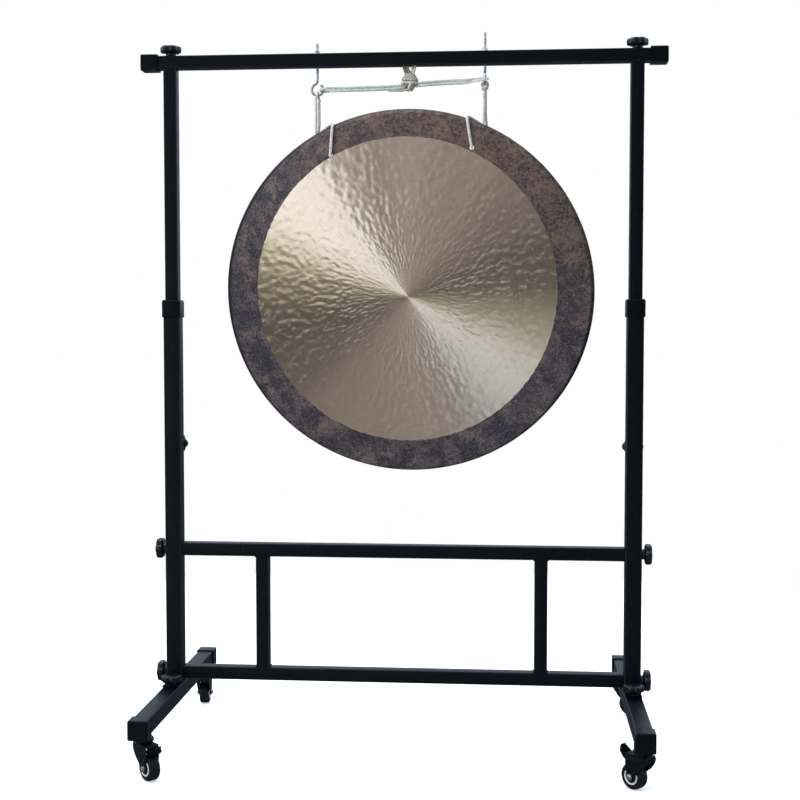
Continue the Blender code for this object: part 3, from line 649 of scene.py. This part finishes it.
def star_knob(node):
    """A six-lobed knob with rounded edges, a cap in its top and a stud in its foot."""
    axis = Vector(JOINTS[node + "_turn"]["axis"])
    low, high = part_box(node)
    size = high - low
    scale = max(size[i] for i in range(3) if abs(axis[i]) < 0.5) / 2 / 0.0258
    height = 0.0245
    stud = abs(size.dot(axis)) - height
    # height, radius and depth of the lobes
    rings = [(-stud, 0.0032, 0), (-stud + 0.0008, 0.0040, 0), *mm(
        (-0.1, 4, 0), (0, 11.8, 0), (0.6, 12.6, 0), (4.5, 12.4, 0), (6.2, 12.8, 0.17),
        (7.2, 15, 0.51), (7.8, 19, 1.19), (8.5, 22.2, 1.53), (9.8, 23.6, 1.7), (11.8, 24.1, 1.7),
        (18.5, 24.1, 1.7), (21.2, 23.6, 1.7), (23.2, 22.2, 1.7), (24.2, 20, 1.445),
        (24.5, 17.2, 0.85), (24.3, 14, 0.17), (23.6, 12.4, 0), (23.2, 11.4, 0), (23.3, 10.8, 0),
        (24, 10.2, 0), (24.2, 9, 0), (24.2, 3, 0))]

    def lobed(radius, angle, lobe):
        wave = 0.5 - 0.5 * cos(6 * angle)
        return (radius + lobe * (1 - 2 * wave ** 1.7)) * scale

    neck = middle(node) + axis * (stud - height) / 2
    place_piece(revolve(node + "_star", rings, 72, lobed), KNOB, node, [node],
                moved(neck) @ along(axis))


def stand():
    for node in ("left_foot", "right_foot", "left_lower_post", "right_lower_post", "mid_rail",
                 "low_rail", "left_strut", "right_strut"):
        square_tube(node, "base")
    for node in ("left_upper_post", "right_upper_post", "crossbar"):
        square_tube(node, "upper_frame")
    for side, sign in SIDES.items():
        end_cap(f"{side}_front_foot_cap", (0, -1, 0), "base")
        end_cap(f"{side}_rear_foot_cap", (0, 1, 0), "base")
        end_cap(f"{side}_bar_cap", (sign, 0, 0), "upper_frame")
        collar(f"{side}_collar", "base")
        for name, node, end in (("strut_low", "strut", 0), ("strut_top", "strut", 1),
                                ("post", "lower_post", 0)):
            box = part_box(f"{side}_{node}")
            place = middle(f"{side}_{node}")
            place.z = box[end].z
            weld(f"{side}_{name}_weld", place, (box[1].x - box[0].x) / 2, "base")
        plate_slots = frame["nodes"][f"{side}_base_plate"].data.materials
        plate_slots.clear()
        plate_slots.append(COAT)
        for place in ("mid_rail", "low_rail", "base", "height", "top"):
            star_knob(f"{side}_{place}_knob")


# Eye bolts and cords


def hexagonal(radius, angle, most):
    """A hexagon with flats this far from its middle, whose corners reach no further than most."""
    turn = (angle + pi / 6) % (pi / 3) - pi / 6
    return min(radius / cos(turn), most)


def eye_bolt(side):
    """A threaded rod bent into an eye, with a flange nut on the crossbar."""
    sign = SIDES[side]
    low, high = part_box(f"{side}_eye_bolt")
    eye_z = low.z + EYE_RADIUS + WIRE
    rise = high.z - eye_z
    turn = [radians(105 + 23.5 * i / 3) for i in range(40)]
    eye = [(EYE_RADIUS * cos(a), 0, EYE_RADIUS * sin(a)) for a in turn]
    shank = mm((0, 0, 40), (0, 0, 34), (0, 0, 28), (-0.1, 0, 22.5), (-1.2, 0, 17.5))
    thread_end = 0.0402
    thread = even_route([(0, 0, rise), (0, 0, thread_end)], 0.00022, False)
    pitch, depth = 0.0010, 0.00042

    def section(distance, angle):
        if distance > rise - thread_end:
            return WIRE
        if distance < 0.0006:
            return WIRE - depth - 0.0002
        wave = (distance / pitch - angle / tau) % 1.0
        return WIRE - depth * abs(2 * wave - 1)

    mesh = sweep(f"{side}_threaded_eye", [*thread, *shank, *eye], section, 18, sharp=50)
    matrix = moved((sign * HOOK_X, 0, eye_z)) @ Matrix.Rotation(EYE_TURN[side], 4, "Z")
    place_piece(mesh, ZINC, "upper_frame", [f"{side}_eye_bolt"], matrix)

    rings = mm((0, 3.6, 3.6), (0, 7.8, 7.8), (0.4, 8, 8), (1.1, 8, 8), (1.6, 7.3, 7.3),
               (2, 5.6, 9), (2.4, 5.6, 9), (6.8, 5.6, 9), (7.5, 5.6, 5.9), (7.8, 5, 5),
               (7.8, 3.6, 3.6))
    mesh = revolve(f"{side}_flange_nut", rings, 48, hexagonal, closed=True)
    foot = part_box(f"{side}_eye_nut")[0].z
    matrix = moved((sign * HOOK_X, 0, foot)) @ Matrix.Rotation(0.35 * sign, 4, "Z")
    place_piece(mesh, ZINC, "upper_frame", [f"{side}_eye_nut"], matrix)


def braid(radius):
    """The section of a braided cord: two sets of strands that cross."""
    pitch = radius * 4.2

    def section(distance, angle):
        one = cos(4 * angle + distance / pitch * tau)
        two = cos(4 * angle - distance / pitch * tau)
        return radius * (0.965 + 0.035 * max(one, two))

    return section


def rope(name, route, closed, material, body, nodes=(), radius=CORD):
    mesh = sweep(name, even_route(route, radius * 0.36, closed), braid(radius), 16, closed)
    place_piece(mesh, material, body, nodes)


def wrap(centre, start, end, bottom, top, steps=16):
    """Points of a cord that goes round an upright wire, from one angle to another."""
    circle = arc(centre, WRAP_RING, start, end, steps)
    return [(x, y, bottom + (top - bottom) * i / steps) for i, (x, y) in enumerate(circle)]


def tie_cord():
    """The doubled cord between the two eyes."""
    centre = mm((-165, 1606.5), (-122, 1606.8), (-80, 1607.5), (-40, 1608.5), (-5, 1610),
                (HANGER_X * 1000, 1613), (48, 1616.2), (85, 1618.5), (122, 1620), (155, 1621))
    half = CORD + 0.0002
    upper = [(x, 0, z + half) for x, z in centre]
    lower = [(x, 0, z - half) for x, z in centre]
    right_wire = (HOOK_X, -EYE_RADIUS)
    left_wire = (EYE_RADIUS * cos(radians(10)) - HOOK_X, 0)
    right = [(0.180, -0.0048, 1.6252), *wrap(right_wire, 100, -110, 1.6268, 1.6212),
             (0.178, -0.0130, 1.6190)]
    left = [(-0.178, 0.0050, 1.6030), *wrap(left_wire, 80, 280, 1.6035, 1.6070),
            (-0.178, -0.0050, 1.6090)]
    route = smooth_route([*upper, *right, *lower[::-1], *left], True, 4)
    rope("tie_rope", route, True, CORD_TIE, "upper_frame", ["tie_cord"])


def hanger_knot():
    """The lashing that ties the middle of the doubled cord up to the crossbar."""
    x = HANGER_X
    top = BAR_BOTTOM + 0.004
    # the brown legs here and the brown turns below are painted shade
    legs = ((-0.0150, -0.0085, CORD_SHADED_BROWN), (-0.0098, -0.0035, CORD_SHADED_BROWN),
            (-0.0046, 0.0010, CORD_SHADED_BROWN), (0.0068, 0.0045, CORD_WHITE),
            (0.0132, 0.0085, CORD_WHITE))
    for number, (start, end, material) in enumerate(legs, 1):
        depth = -0.0020 if number % 2 else 0.0015
        leg = [(x + start, depth, top), (x + start * 0.96, depth, 1.6550),
               (x + (start + end) / 2, depth - 0.001, 1.6480), (x + end, depth - 0.002, 1.6410),
               (x + end, depth, 1.6330)]
        rope(f"hanger_leg_{number}", smooth_route(leg, False, 6), False, material, "upper_frame")
    # height, half width and half depth of each turn
    bell = mm((1641.5, 8, 6.2), (1637.2, 11.2, 7.8), (1633, 14, 8.8), (1628.8, 16.8, 9.6),
              (1624.8, 18.6, 10))
    rope("hanger_bell", coil(x, bell), False, CORD_GREY, "upper_frame", ["hanger_cord"])
    band = mm((1620.5, 19.6, 10.4), (1618, 17.6, 9.8))
    rope("hanger_band", coil(x, band), False, CORD_WHITE, "upper_frame")
    turns = ((-0.0075, 0.0050, 0.0090, CORD_SHADED_BROWN), (0.0010, 0.0050, 0.0112, CORD_WHITE),
             (0.0085, 0.0045, 0.0098, CORD_SHADED_BROWN))
    for number, (shift, slant, reach, material) in enumerate(turns, 1):
        ring = ring_route((x + shift, 0, 1.6125), slant, 0.0102, reach)
        rope(f"hanger_turn_{number}", ring, True, material, "upper_frame")
    tail = [(x + shift, depth, z) for shift, depth, z in mm(
        (-4, -9, 1603), (-16, -7, 1600.8), (-32, -4, 1601), (-46, -3, 1601.8), (-52, -3, 1603.2))]
    rope("hanger_tail", smooth_route(tail, False, 6), False, CORD_GREY, "upper_frame",
         radius=CORD * 0.9)


def coil(x, turns):
    """Points of a coil about an upright axis, from (height, half width, half depth) turns."""
    route = []
    for low, high in zip(turns, turns[1:]):
        for step in range(CORD_STEPS):
            part = step / CORD_STEPS
            angle = part * tau + pi / 2
            z, wide, deep = (a + (b - a) * part for a, b in zip(low, high))
            route.append((x + wide * cos(angle), deep * sin(angle), z))
    return route


# Gong


def gong_centre():
    """The middle of the gong's front plane, from the place where its box is widest."""
    low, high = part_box("gong")
    return Vector(((low.x + high.x) / 2, -0.0043, 1.107))


GONG = moved(gong_centre()) @ Matrix.Rotation(pi / 2 + GONG_TILT, 4, "X")


def hole_place(sign):
    """Where a cord hole lies on the gong, as (u, v)."""
    angle = pi / 2 + GONG_ROLL - sign * HOLE_SPREAD
    return HOLE_FROM_CENTRE * cos(angle), HOLE_FROM_CENTRE * sin(angle)


def front_height(radius):
    """How far out of the gong's plane its front stands."""
    if radius <= FACE_RADIUS:
        return FACE_DOME * (1 - (radius / FACE_RADIUS) ** 1.5)
    return -SLOPE_DROP * (radius - FACE_RADIUS) / (GONG_RADIUS - RIM_BEND - FACE_RADIUS)


def border_shift(angle):
    """How far the hand-scraped edge of the disc strays from its circle."""
    return (0.0037 - 0.0055 * cos(angle) + 0.0092 * sin(angle)
            - 0.0055 * cos(2 * angle))


def hammering(radius, angle):
    """Height of the hammer's marks, which are long towards the centre."""
    spin = Vector((cos(angle), sin(angle), 0))
    long_marks = noise.noise(spin * 24 + Vector((0, 0, radius / 0.016)))
    short_marks = noise.noise(spin * 46 + Vector((7, 3, radius / 0.009)))
    broad = noise.noise(spin * 6 + Vector((1, 9, radius / 0.080)))
    ends = min(1, radius / 0.16) * min(1, max(0, (GONG_RADIUS - RIM_BEND - radius) / 0.02))
    worked = 0.34 + 0.66 * (0.5 + 0.5 * cos(2 * (angle - radians(14)))) ** 1.4
    worked += 0.85 * cos(angle - radians(96)) ** 10
    marks = 0.00044 * long_marks + 0.00024 * short_marks
    return ends * (worked * marks + 0.00010 * broad)


def gong_profile():
    """(radius, height, hammered) rings, from the middle of the front over the rim to the back."""
    slope = GONG_RADIUS - RIM_BEND - FACE_RADIUS
    inner = GONG_RADIUS - GONG_THICK
    bend_foot = -SLOPE_DROP - RIM_BEND
    lip = -RIM_DEPTH - 0.0004

    def bend(outer, size, degrees):
        return [(outer - size * (1 - cos(a)), bend_foot + size * sin(a), False)
                for a in map(radians, degrees)]

    front = [FACE_RADIUS * i / FACE_RINGS for i in range(1, FACE_RINGS + 1)]
    front += [FACE_RADIUS + slope * i / SLOPE_RINGS for i in range(1, SLOPE_RINGS + 1)]
    wall = [(RIM_TAPER * i / RIM_RINGS, bend_foot - (RIM_DEPTH + bend_foot) * i / RIM_RINGS)
            for i in range(RIM_RINGS + 1)]
    start, end = GONG_RADIUS - RIM_BEND - 0.004, 0.008
    back = [start - (start - end) * i / BACK_RINGS for i in range(BACK_RINGS + 1)]
    return [*((r, front_height(r), True) for r in front),
            *bend(GONG_RADIUS, RIM_BEND, range(81, -1, -9)),
            *((GONG_RADIUS - taper, z, False) for taper, z in wall[1:]),
            (GONG_RADIUS - RIM_TAPER - 0.0005, lip, False),
            (inner - RIM_TAPER + 0.0005, lip, False),
            *((inner - taper, z, False) for taper, z in wall[::-1]),
            *bend(inner, RIM_BEND - GONG_THICK, range(12, 90, 12)),
            *((r, front_height(r) - GONG_THICK, True) for r in back)]


def gong_disc():
    """The gong: a domed and hammered disc, a sloping border and a rim turned back."""
    slope = GONG_RADIUS - RIM_BEND - FACE_RADIUS
    bm = bmesh.new()
    loops = []
    for index, (radius, height, hammered) in enumerate(gong_profile()):
        past_border = index + 1 - FACE_RINGS
        loop = []
        for step in range(DISC_STEPS):
            angle = step * tau / DISC_STEPS
            spin = Vector((cos(angle), sin(angle), 0))
            reach = radius
            if index < FACE_RINGS + SLOPE_RINGS:
                outward = (GONG_RADIUS - RIM_BEND - radius) / slope
                reach += border_shift(angle) * min((radius / FACE_RADIUS) ** 4, outward)
            if abs(past_border) < 4:
                ragged = 0.0016 * noise.noise(spin * 30) + 0.0010 * noise.noise(spin * 95)
                reach += (1 - abs(past_border) / 4) * ragged
            lift = hammering(radius, angle) if hammered else 0
            loop.append(bm.verts.new((reach * spin.x, reach * spin.y, height + lift)))
        loops.append(loop)
    face_rings(bm, loops, caps=False)
    for loop, height in ((loops[0], FACE_DOME), (loops[-1], FACE_DOME - GONG_THICK)):
        tip = bm.verts.new((0, 0, height))
        for i in range(DISC_STEPS):
            bm.faces.new((loop[i], loop[(i + 1) % DISC_STEPS], tip))
    bmesh.ops.recalc_face_normals(bm, faces=bm.faces)
    bm.transform(Matrix.Diagonal((GONG_WIDTH / 2 / GONG_RADIUS, GONG_HEIGHT / 2 / GONG_RADIUS,
                                  1, 1)))
    mesh = bpy.data.meshes.new("gong_disc")
    bm.to_mesh(mesh)
    bm.free()
    mesh.shade_smooth()
    # bronze (0) on the rings inside the border and on the front's middle, patina (1) elsewhere
    indices = [1] * len(mesh.polygons)
    front_tip = len(loops) - 1
    for first, count in ((0, FACE_RINGS - 1), (front_tip, 1)):
        indices[first * DISC_STEPS:(first + count) * DISC_STEPS] = [0] * (count * DISC_STEPS)
    mesh.polygons.foreach_set("material_index", indices)
    return mesh


def gong():
    """Places the disc, with its two cord holes cut through."""
    piece = place_piece(gong_disc(), BRONZE, "gong", ["gong"], GONG)
    piece.data.materials.append(PATINA)
    drills = bmesh.new()
    for sign in SIDES.values():
        bmesh.ops.create_cone(drills, cap_ends=True, segments=24, radius1=HOLE_RADIUS,
                              radius2=HOLE_RADIUS, depth=0.04,
                              matrix=moved((*hole_place(sign), -0.01)))
    mesh = bpy.data.meshes.new("holes")
    drills.to_mesh(mesh)
    drills.free()
    cutter = add_object("holes", mesh)
    cutter.matrix_world = piece.matrix_world.copy()
    cut = piece.modifiers.new("Holes", "BOOLEAN")
    cut.object = cutter
    cut.solver = "MANIFOLD"
    bpy.context.view_layer.update()
    graph = bpy.context.evaluated_depsgraph_get()
    finished = bpy.data.meshes.new_from_object(piece.evaluated_get(graph))
    piece.modifiers.clear()
    finished.name = "gong_disc"
    piece.data = finished
    bpy.data.objects.remove(cutter)


def rim_point(u, h, clear):
    """A point of the gong's frame that stands clear of the outside of the rim."""
    shrink = RIM_TAPER * max(0, -h - SLOPE_DROP - RIM_BEND) / (RIM_DEPTH - SLOPE_DROP - RIM_BEND)
    width, height = GONG_WIDTH / 2 - shrink + clear, GONG_HEIGHT / 2 - shrink + clear
    return u, height * sqrt(1 - (u / width) ** 2), h


def sling(side):
    """Over the eye, down behind the rim, back over it to the hole, through it and up again."""
    sign = SIDES[side]
    eye_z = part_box(f"{side}_eye_bolt")[0].z + EYE_RADIUS + WIRE
    eye = Vector((sign * HOOK_X, 0, eye_z - EYE_RADIUS))
    turn = Matrix.Rotation(-EYE_TURN[side], 3, "Z")
    u, v = hole_place(sign)
    lead = SLING_LEAD[side]
    spread = SLING_SPREAD[side]
    near = spread + 0.0006
    shift = eye.x - GONG.translation.x
    clear = CORD + 0.0005
    over = [eye + turn @ Vector(p)
            for p in ((0, CORD_RING, 0), (0, 0, CORD_CREST), (0, -CORD_RING, 0))]
    down = [eye + Vector(p) for p in (
        (-near, -0.0033, -0.012), (-spread, -0.0034, -0.020), (-spread, -0.0014, -0.055))]
    edge = shift - 0.0036
    front = [(edge, rim_point(edge, -RIM_DEPTH, clear)[1] + 0.003, -RIM_DEPTH - clear),
             rim_point(edge * 0.94 + u * 0.06, -RIM_DEPTH + 0.006, clear),
             rim_point((edge + u + lead) / 2, -0.038, clear + 0.0004),
             rim_point(u + lead, -0.019, clear),
             (u + lead * 0.95, v + 0.0640, -0.0050),
             (u + lead * 0.55, v + 0.035, CORD - 0.0020),
             (u + lead * 0.15, v + 0.009, CORD + 0.0002),
             (u, v - 0.0004, CORD - 0.0004),
             (u, v - 0.0004, -0.0075)]
    back = [(u - sign * 0.001, v + 0.008, -0.016), (u + 0.009, v + 0.022, -0.040),
            (shift + 0.0036, v + 0.033, -RIM_DEPTH - 0.008)]
    up = [eye + Vector(p) for p in (
        (spread, 0.0058, -0.070), (spread, 0.0034, -0.020), (near, 0.0033, -0.012))]
    inside = [GONG @ Vector(p) for p in (*front, *back)]
    route = smooth_route([*over, *down, *inside, *up], True, 8)
    rope(f"{side}_sling_rope", route, True, CORD_WHITE, "gong", [f"{side}_sling"])
    if side == "right":
        ring = ring_route(eye + Vector((0, 0, -0.0098)), 0.0058, 0.0066, 0.0012)
        rope("right_sling_binding", ring, True, CORD_GREY, "gong", radius=CORD * 0.85)


# Casters


def caster_frame(place):
    """A caster's own frame: x along its trail, z up, the origin on the floor."""
    swivel = Vector(JOINTS[f"{place}_swivel_turn"]["pos_m"])
    wheel = Vector(JOINTS[f"{place}_wheel_roll"]["pos_m"])
    heading = atan2(wheel.y - swivel.y, wheel.x - swivel.x)
    return moved((swivel.x, swivel.y, 0)) @ Matrix.Rotation(heading, 4, "Z")


def axle_frame(at):
    """The frame of a caster's wheel, z along its axle."""
    return at @ moved((TRAIL, 0, WHEEL_RADIUS)) @ along((0, 1, 0))


def caster_mount(place, at):
    """Stem, washer and ball race under the foot."""
    node = f"{place}_caster_mount"
    low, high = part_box(node)
    rings = [(high.z, 0.0030), (high.z, 0.0042), (high.z - 0.001, 0.0050), *mm(
        (104, 5), (103.7, 13.2), (103, 14), (101.2, 14), (100.6, 13.4), (100, 10), (98.5, 10),
        (97.5, 15), (96.2, 18.5), (94.5, 21.4), (92.5, 22.8), (90.5, 23), (89.8, 22.2),
        (89.2, 22.2), (88.6, 23), (86.6, 22.8), (85.2, 21.6), (84.6, 19), (84.2, 18.6)),
        (low.z, 0.0180), (low.z, 0.0040)]
    place_piece(revolve(node + "_race", rings, 48), STEEL, "base", [node], moved(at.translation))


def caster_fork(place, at):
    """A pressed fork: a hood under the race, side plates and a rolled nose."""
    node = f"{place}_fork"
    upright = at @ Matrix.Rotation(pi / 2, 4, "X")
    outline = [*mm((-21.5, 78.5), (-21.5, 72), (-19.5, 66.5), (-15, 59), (-9, 51), (1, 43),
                   (10, 35)), *arc((TRAIL, WHEEL_RADIUS), 0.0095, -170, -10, 14),
               *mm((35, 40), (37.2, 52), (38, 62), (38, 78.5))]
    half, inner = 0.0175, 0.0150
    nose_x, tail_x, corner = -0.0215, 0.0380, 0.003
    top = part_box(node)[1].z
    ceiling = top - 0.0040
    plates = [plate("leg", outline, half - inner, 0.0006,
                    upright @ moved((0, 0, sign * (half + inner) / 2)))
              for sign in SIDES.values()]
    hood = []
    for i, (x, y) in enumerate(((nose_x, -half), (tail_x, -half), (tail_x, half), (nose_x, half))):
        centre = (x - copysign(corner, x), y - copysign(corner, y))
        hood += arc(centre, corner, 180 + 90 * i, 270 + 90 * i, 4)
    plates.append(plate("hood", hood, top - ceiling, 0.0012,
                        at @ moved((0, 0, (top + ceiling) / 2))))
    outside, inside = nose_x + 0.0005, nose_x + 0.0027
    wall = [(outside, -inner), (inside, -inner), (inside, inner), (outside, inner)]
    plates.append(plate("nose", wall, 0.012, 0.0005,
                        at @ moved((0, 0, ceiling - 0.0055))))
    race = revolve("race", ((ceiling, 0.004), (top - 0.0008, 0.0195), (top, 0.0190),
                            (top, 0.004)), 40)
    race.transform(at)
    place_piece(join(node + "_pressing", *plates, race), STEEL, f"{place}_swivel", [node])


def caster_wheel(place, at):
    """A hard tyre on a black hub, with a bright ring on each side."""
    node = f"{place}_wheel"
    side = mm((14.2, 3.4), (14.2, 7.2), (13.6, 8), (10.8, 9), (10, 11), (10, 17), (10.8, 18.2),
              (12.6, 19), (13, 20), (13, 23.5), (12.7, 25.6), (11.8, 27.5), (10.2, 29),
              (7.8, 29.8), (2.2, 30), (1.8, 29.4))
    rings = [*side, *[(-z, r) for z, r in side[::-1]]]
    place_piece(revolve(node + "_tyre", rings, 64, closed=True), TYRE, node, [node],
                axle_frame(at))
    ring = mm((13.2, 14.6), (13.8, 15.2), (14, 16.4), (13.7, 17.8), (12.8, 18.4), (10, 18.4),
              (9.8, 15))
    rings = [revolve("ring", [(sign * z, r) for z, r in ring], 64, closed=True)
             for sign in SIDES.values()]
    place_piece(join(node + "_rings", *rings), CHROME, node, [], axle_frame(at))


def caster_axle(place, at):
    """The axle bolt, with a hexagon head on one side and a nut on the other."""
    node = f"{place}_axle"
    rings = mm((22, 1, 1), (22, 4.2, 4.2), (21.3, 5.1, 9), (18.6, 5.1, 9), (18.6, 7, 7),
               (17.8, 7.2, 7.2), (17.8, 3, 3), (-17.8, 3, 3), (-17.8, 7.2, 7.2), (-18.6, 7, 7),
               (-18.6, 5.1, 9), (-21.2, 5.1, 9), (-21.6, 4.4, 4.4), (-21.6, 2.9, 2.9),
               (-22, 2.7, 2.7), (-22, 1, 1))
    place_piece(revolve(node + "_bolt", rings, 48, hexagonal), ZINC, f"{place}_swivel", [node],
                axle_frame(at))


def brake_pedal(place, at):
    """The brake lever of a front caster, ribbed where a shoe presses it."""
    node = f"{place}_brake_pedal"
    pressed = radians(20) if place == "front_left" else 0
    matrix = (moved(Vector(JOINTS[f"{place}_brake_press"]["pos_m"]))
              @ at.to_3x3().to_4x4() @ Matrix.Rotation(pressed, 4, "Y")
              @ Matrix.Rotation(pi / 2, 4, "X"))
    outline = mm((-5, -4), (-4, -5.2), (6, -6), (12, -2.5), (18, 3), (24, 12), (28.6, 20.5),
                 (28.4, 22.5), (26.5, 24.8), (24.5, 24.7), (21, 23.5), (16, 16.2), (11, 10),
                 (5, 5.5), (-4, 5.5), (-5, 4.2))
    lever = plate("lever", outline, 0.024, 0.0024, Matrix(), 4)
    for vertex in lever.vertices:
        # the tip is narrower than the rest
        past = max(0, hypot(vertex.co.x, vertex.co.y) - 0.021) / 0.0150
        vertex.co.z *= sqrt(max(0.1, 1 - past ** 2))
    lever.transform(matrix)
    ribs = []
    for step in range(3):
        x, y = 0.0152 + 0.0035 * step, 0.0160 + 0.0049 * step
        rib = [(x + a, y + b) for a, b in mm((-0.8, -1.4), (0.6, -0.6), (-0.2, 1.2), (-1.6, 0.4))]
        ribs.append(plate("rib", rib, 0.018, 0.0003, matrix, 2))
    pin = revolve("pin", mm((-17.4, 1.2), (-17.2, 1.9), (17.2, 1.9), (17.4, 1.2)), 16)
    pin.transform(matrix)
    place_piece(join(node + "_lever", lever, *ribs, pin), PLASTIC, node, [node])


def casters():
    for place in ("front_left", "front_right", "rear_left", "rear_right"):
        at = caster_frame(place)
        for part in (caster_mount, caster_fork, caster_wheel, caster_axle):
            part(place, at)
        if place.startswith("front"):
            brake_pedal(place, at)


# Stage, light and camera


def floor():
    bm = bmesh.new()
    bmesh.ops.create_circle(bm, cap_ends=True, segments=96, radius=2.4)
    disc = add_object("floor", mesh_from(bm, "floor"))
    f = Finish("floor")
    disc.data.materials.append(f.set(
        f.mix(f.noise(3), 0.90, 0.92), 0.9, Specular_IOR_Level=0.0, Emission_Color=1,
        Emission_Strength=0.42))
    disc.visible_glossy = False  # else it would light every highlight from below


def studio():
    """A pale studio: a tall soft box to the upper left, darker sides and cool light above."""
    world = bpy.data.worlds.new("studio")
    bpy.context.scene.world = world
    world.use_nodes = True
    t = Tree(world.node_tree)
    direction = t.put("TexCoord", output="Generated")
    centre = Vector((-0.077, -0.951, -0.301)).normalized()
    right = (Vector((1, 0, 0)) - centre.x * centre).normalized()
    up = centre.cross(right).normalized()

    def dot(axis):
        return t.put("VectorMath", {0: direction, 1: axis}, "Value", operation="DOT_PRODUCT")

    def turned(*stops):
        """A ramp round the centre, from (degrees, colour) stops."""
        return t.ramp(turn, [((degrees + 180) % 360 / 360, tint) for degrees, tint in stops])

    angle = t.math("ARCTAN2", dot(up), dot(right))
    turn = t.math("ADD", t.math("DIVIDE", angle, tau), 0.5)
    dark = (0.088, 0.086, 0.078)
    taupe = (0.29, 0.272, 0.268)
    low_taupe = (0.262, 0.250, 0.246)
    gold = (0.66, 0.62, 0.36)
    moss = (0.20, 0.24, 0.16)
    deep = (0.045, 0.044, 0.040)
    blue_silver = (0.175, 0.275, 0.37)
    silver = (0.43, 0.505, 0.55)
    edge = (2.10, 2.30, 2.60)
    bright = (1.75, 1.88, 2.05)
    front = turned(
        (185, dark), (226, dark), (240, low_taupe), (289, low_taupe), (292, blue_silver),
        (308, blue_silver), (322, silver), (341, silver), (344, moss), (350, moss), (355, deep),
        (16, deep), (46, taupe), (114, taupe), (124, (0.30, 0.30, 0.24)), (126, edge),
        (131, bright), (159, bright), (162, gold), (170, gold), (176, dark))
    ripple = t.put("TexNoise", {"W": turn, "Scale": 52, "Detail": 4}, noise_dimensions="1D")
    strength = t.ramp(ripple, ((0.32, 0.12), (0.44, 0.45), (0.54, 1.0), (0.63, 2.8)))
    rippled = turned(
        (185, 1.0), (238, 1.0), (255, 0.55), (290, 0.45), (300, 0.25), (335, 0.4), (345, 0.9),
        (355, 1.0), (38, 1.0), (66, 0.35), (82, 0.95), (114, 1.0), (123, 0.10), (150, 0.15),
        (161, 0.8))
    front = t.mix(rippled, front, t.mix(1.0, front, strength, "MULTIPLY"))
    height = t.put("SeparateXYZ", {0: direction}, "Z")
    behind = t.ramp(t.math("ADD", t.math("MULTIPLY", height, 0.5), 0.5), (
        (0.0, (0.08, 0.10, 0.13)), (0.48, (0.13, 0.15, 0.19)), (0.52, (0.75, 0.88, 1.10)),
        (0.65, (0.80, 0.92, 1.12)), (0.80, (0.90, 1.0, 1.2)), (1.0, (1.0, 1.1, 1.25))))
    ahead = t.put("MapRange", {"Value": dot(centre), "From Min": 0.20, "From Max": 0.45})
    camera_ray = t.put("LightPath", output="Is Camera Ray")
    shown = t.mix(camera_ray, t.mix(ahead, behind, front), 1.0)
    t.feed(t.nodes["Background"].inputs["Color"], shown)
    bpy.context.scene.view_settings.view_transform = "Standard"


def soft_light(name, place, target, size, power, tint, mirrored=True):
    light = bpy.data.lights.new(name, "AREA")
    light.shape = "RECTANGLE"
    light.size, light.size_y = size
    light.energy = power
    light.color = tint
    lamp = add_object(name, light)
    lamp.location = place
    lamp.rotation_euler = (Vector(target) - Vector(place)).to_track_quat("-Z", "Y").to_euler()
    lamp.visible_glossy = mirrored


def camera():
    data = bpy.data.cameras.new("camera")
    data.sensor_width = 36
    data.lens = 60.86
    lens = add_object("camera", data)
    lens.matrix_world = (moved((0.2725, -3.2923, 1.0262))
                         @ Matrix.Rotation(radians(4.7686), 4, "Z")
                         @ Matrix.Rotation(radians(90 - 3.0016), 4, "X"))
    bpy.context.scene.camera = lens


camera()
studio()
soft_light("overhead", (-0.4, 0.3, 3.6), (0, 0, 0.6), (2.6, 2.2), 70, (0.86, 0.93, 1.0))
soft_light("left", (-2.4, -2.6, 3.0), (0, 0, 1.3), (0.5, 0.5), 60, (1.0, 0.97, 0.93), False)
floor()
stand()
for side_name in SIDES:
    eye_bolt(side_name)
tie_cord()
hanger_knot()
gong()
for side_name in SIDES:
    sling(side_name)
casters()
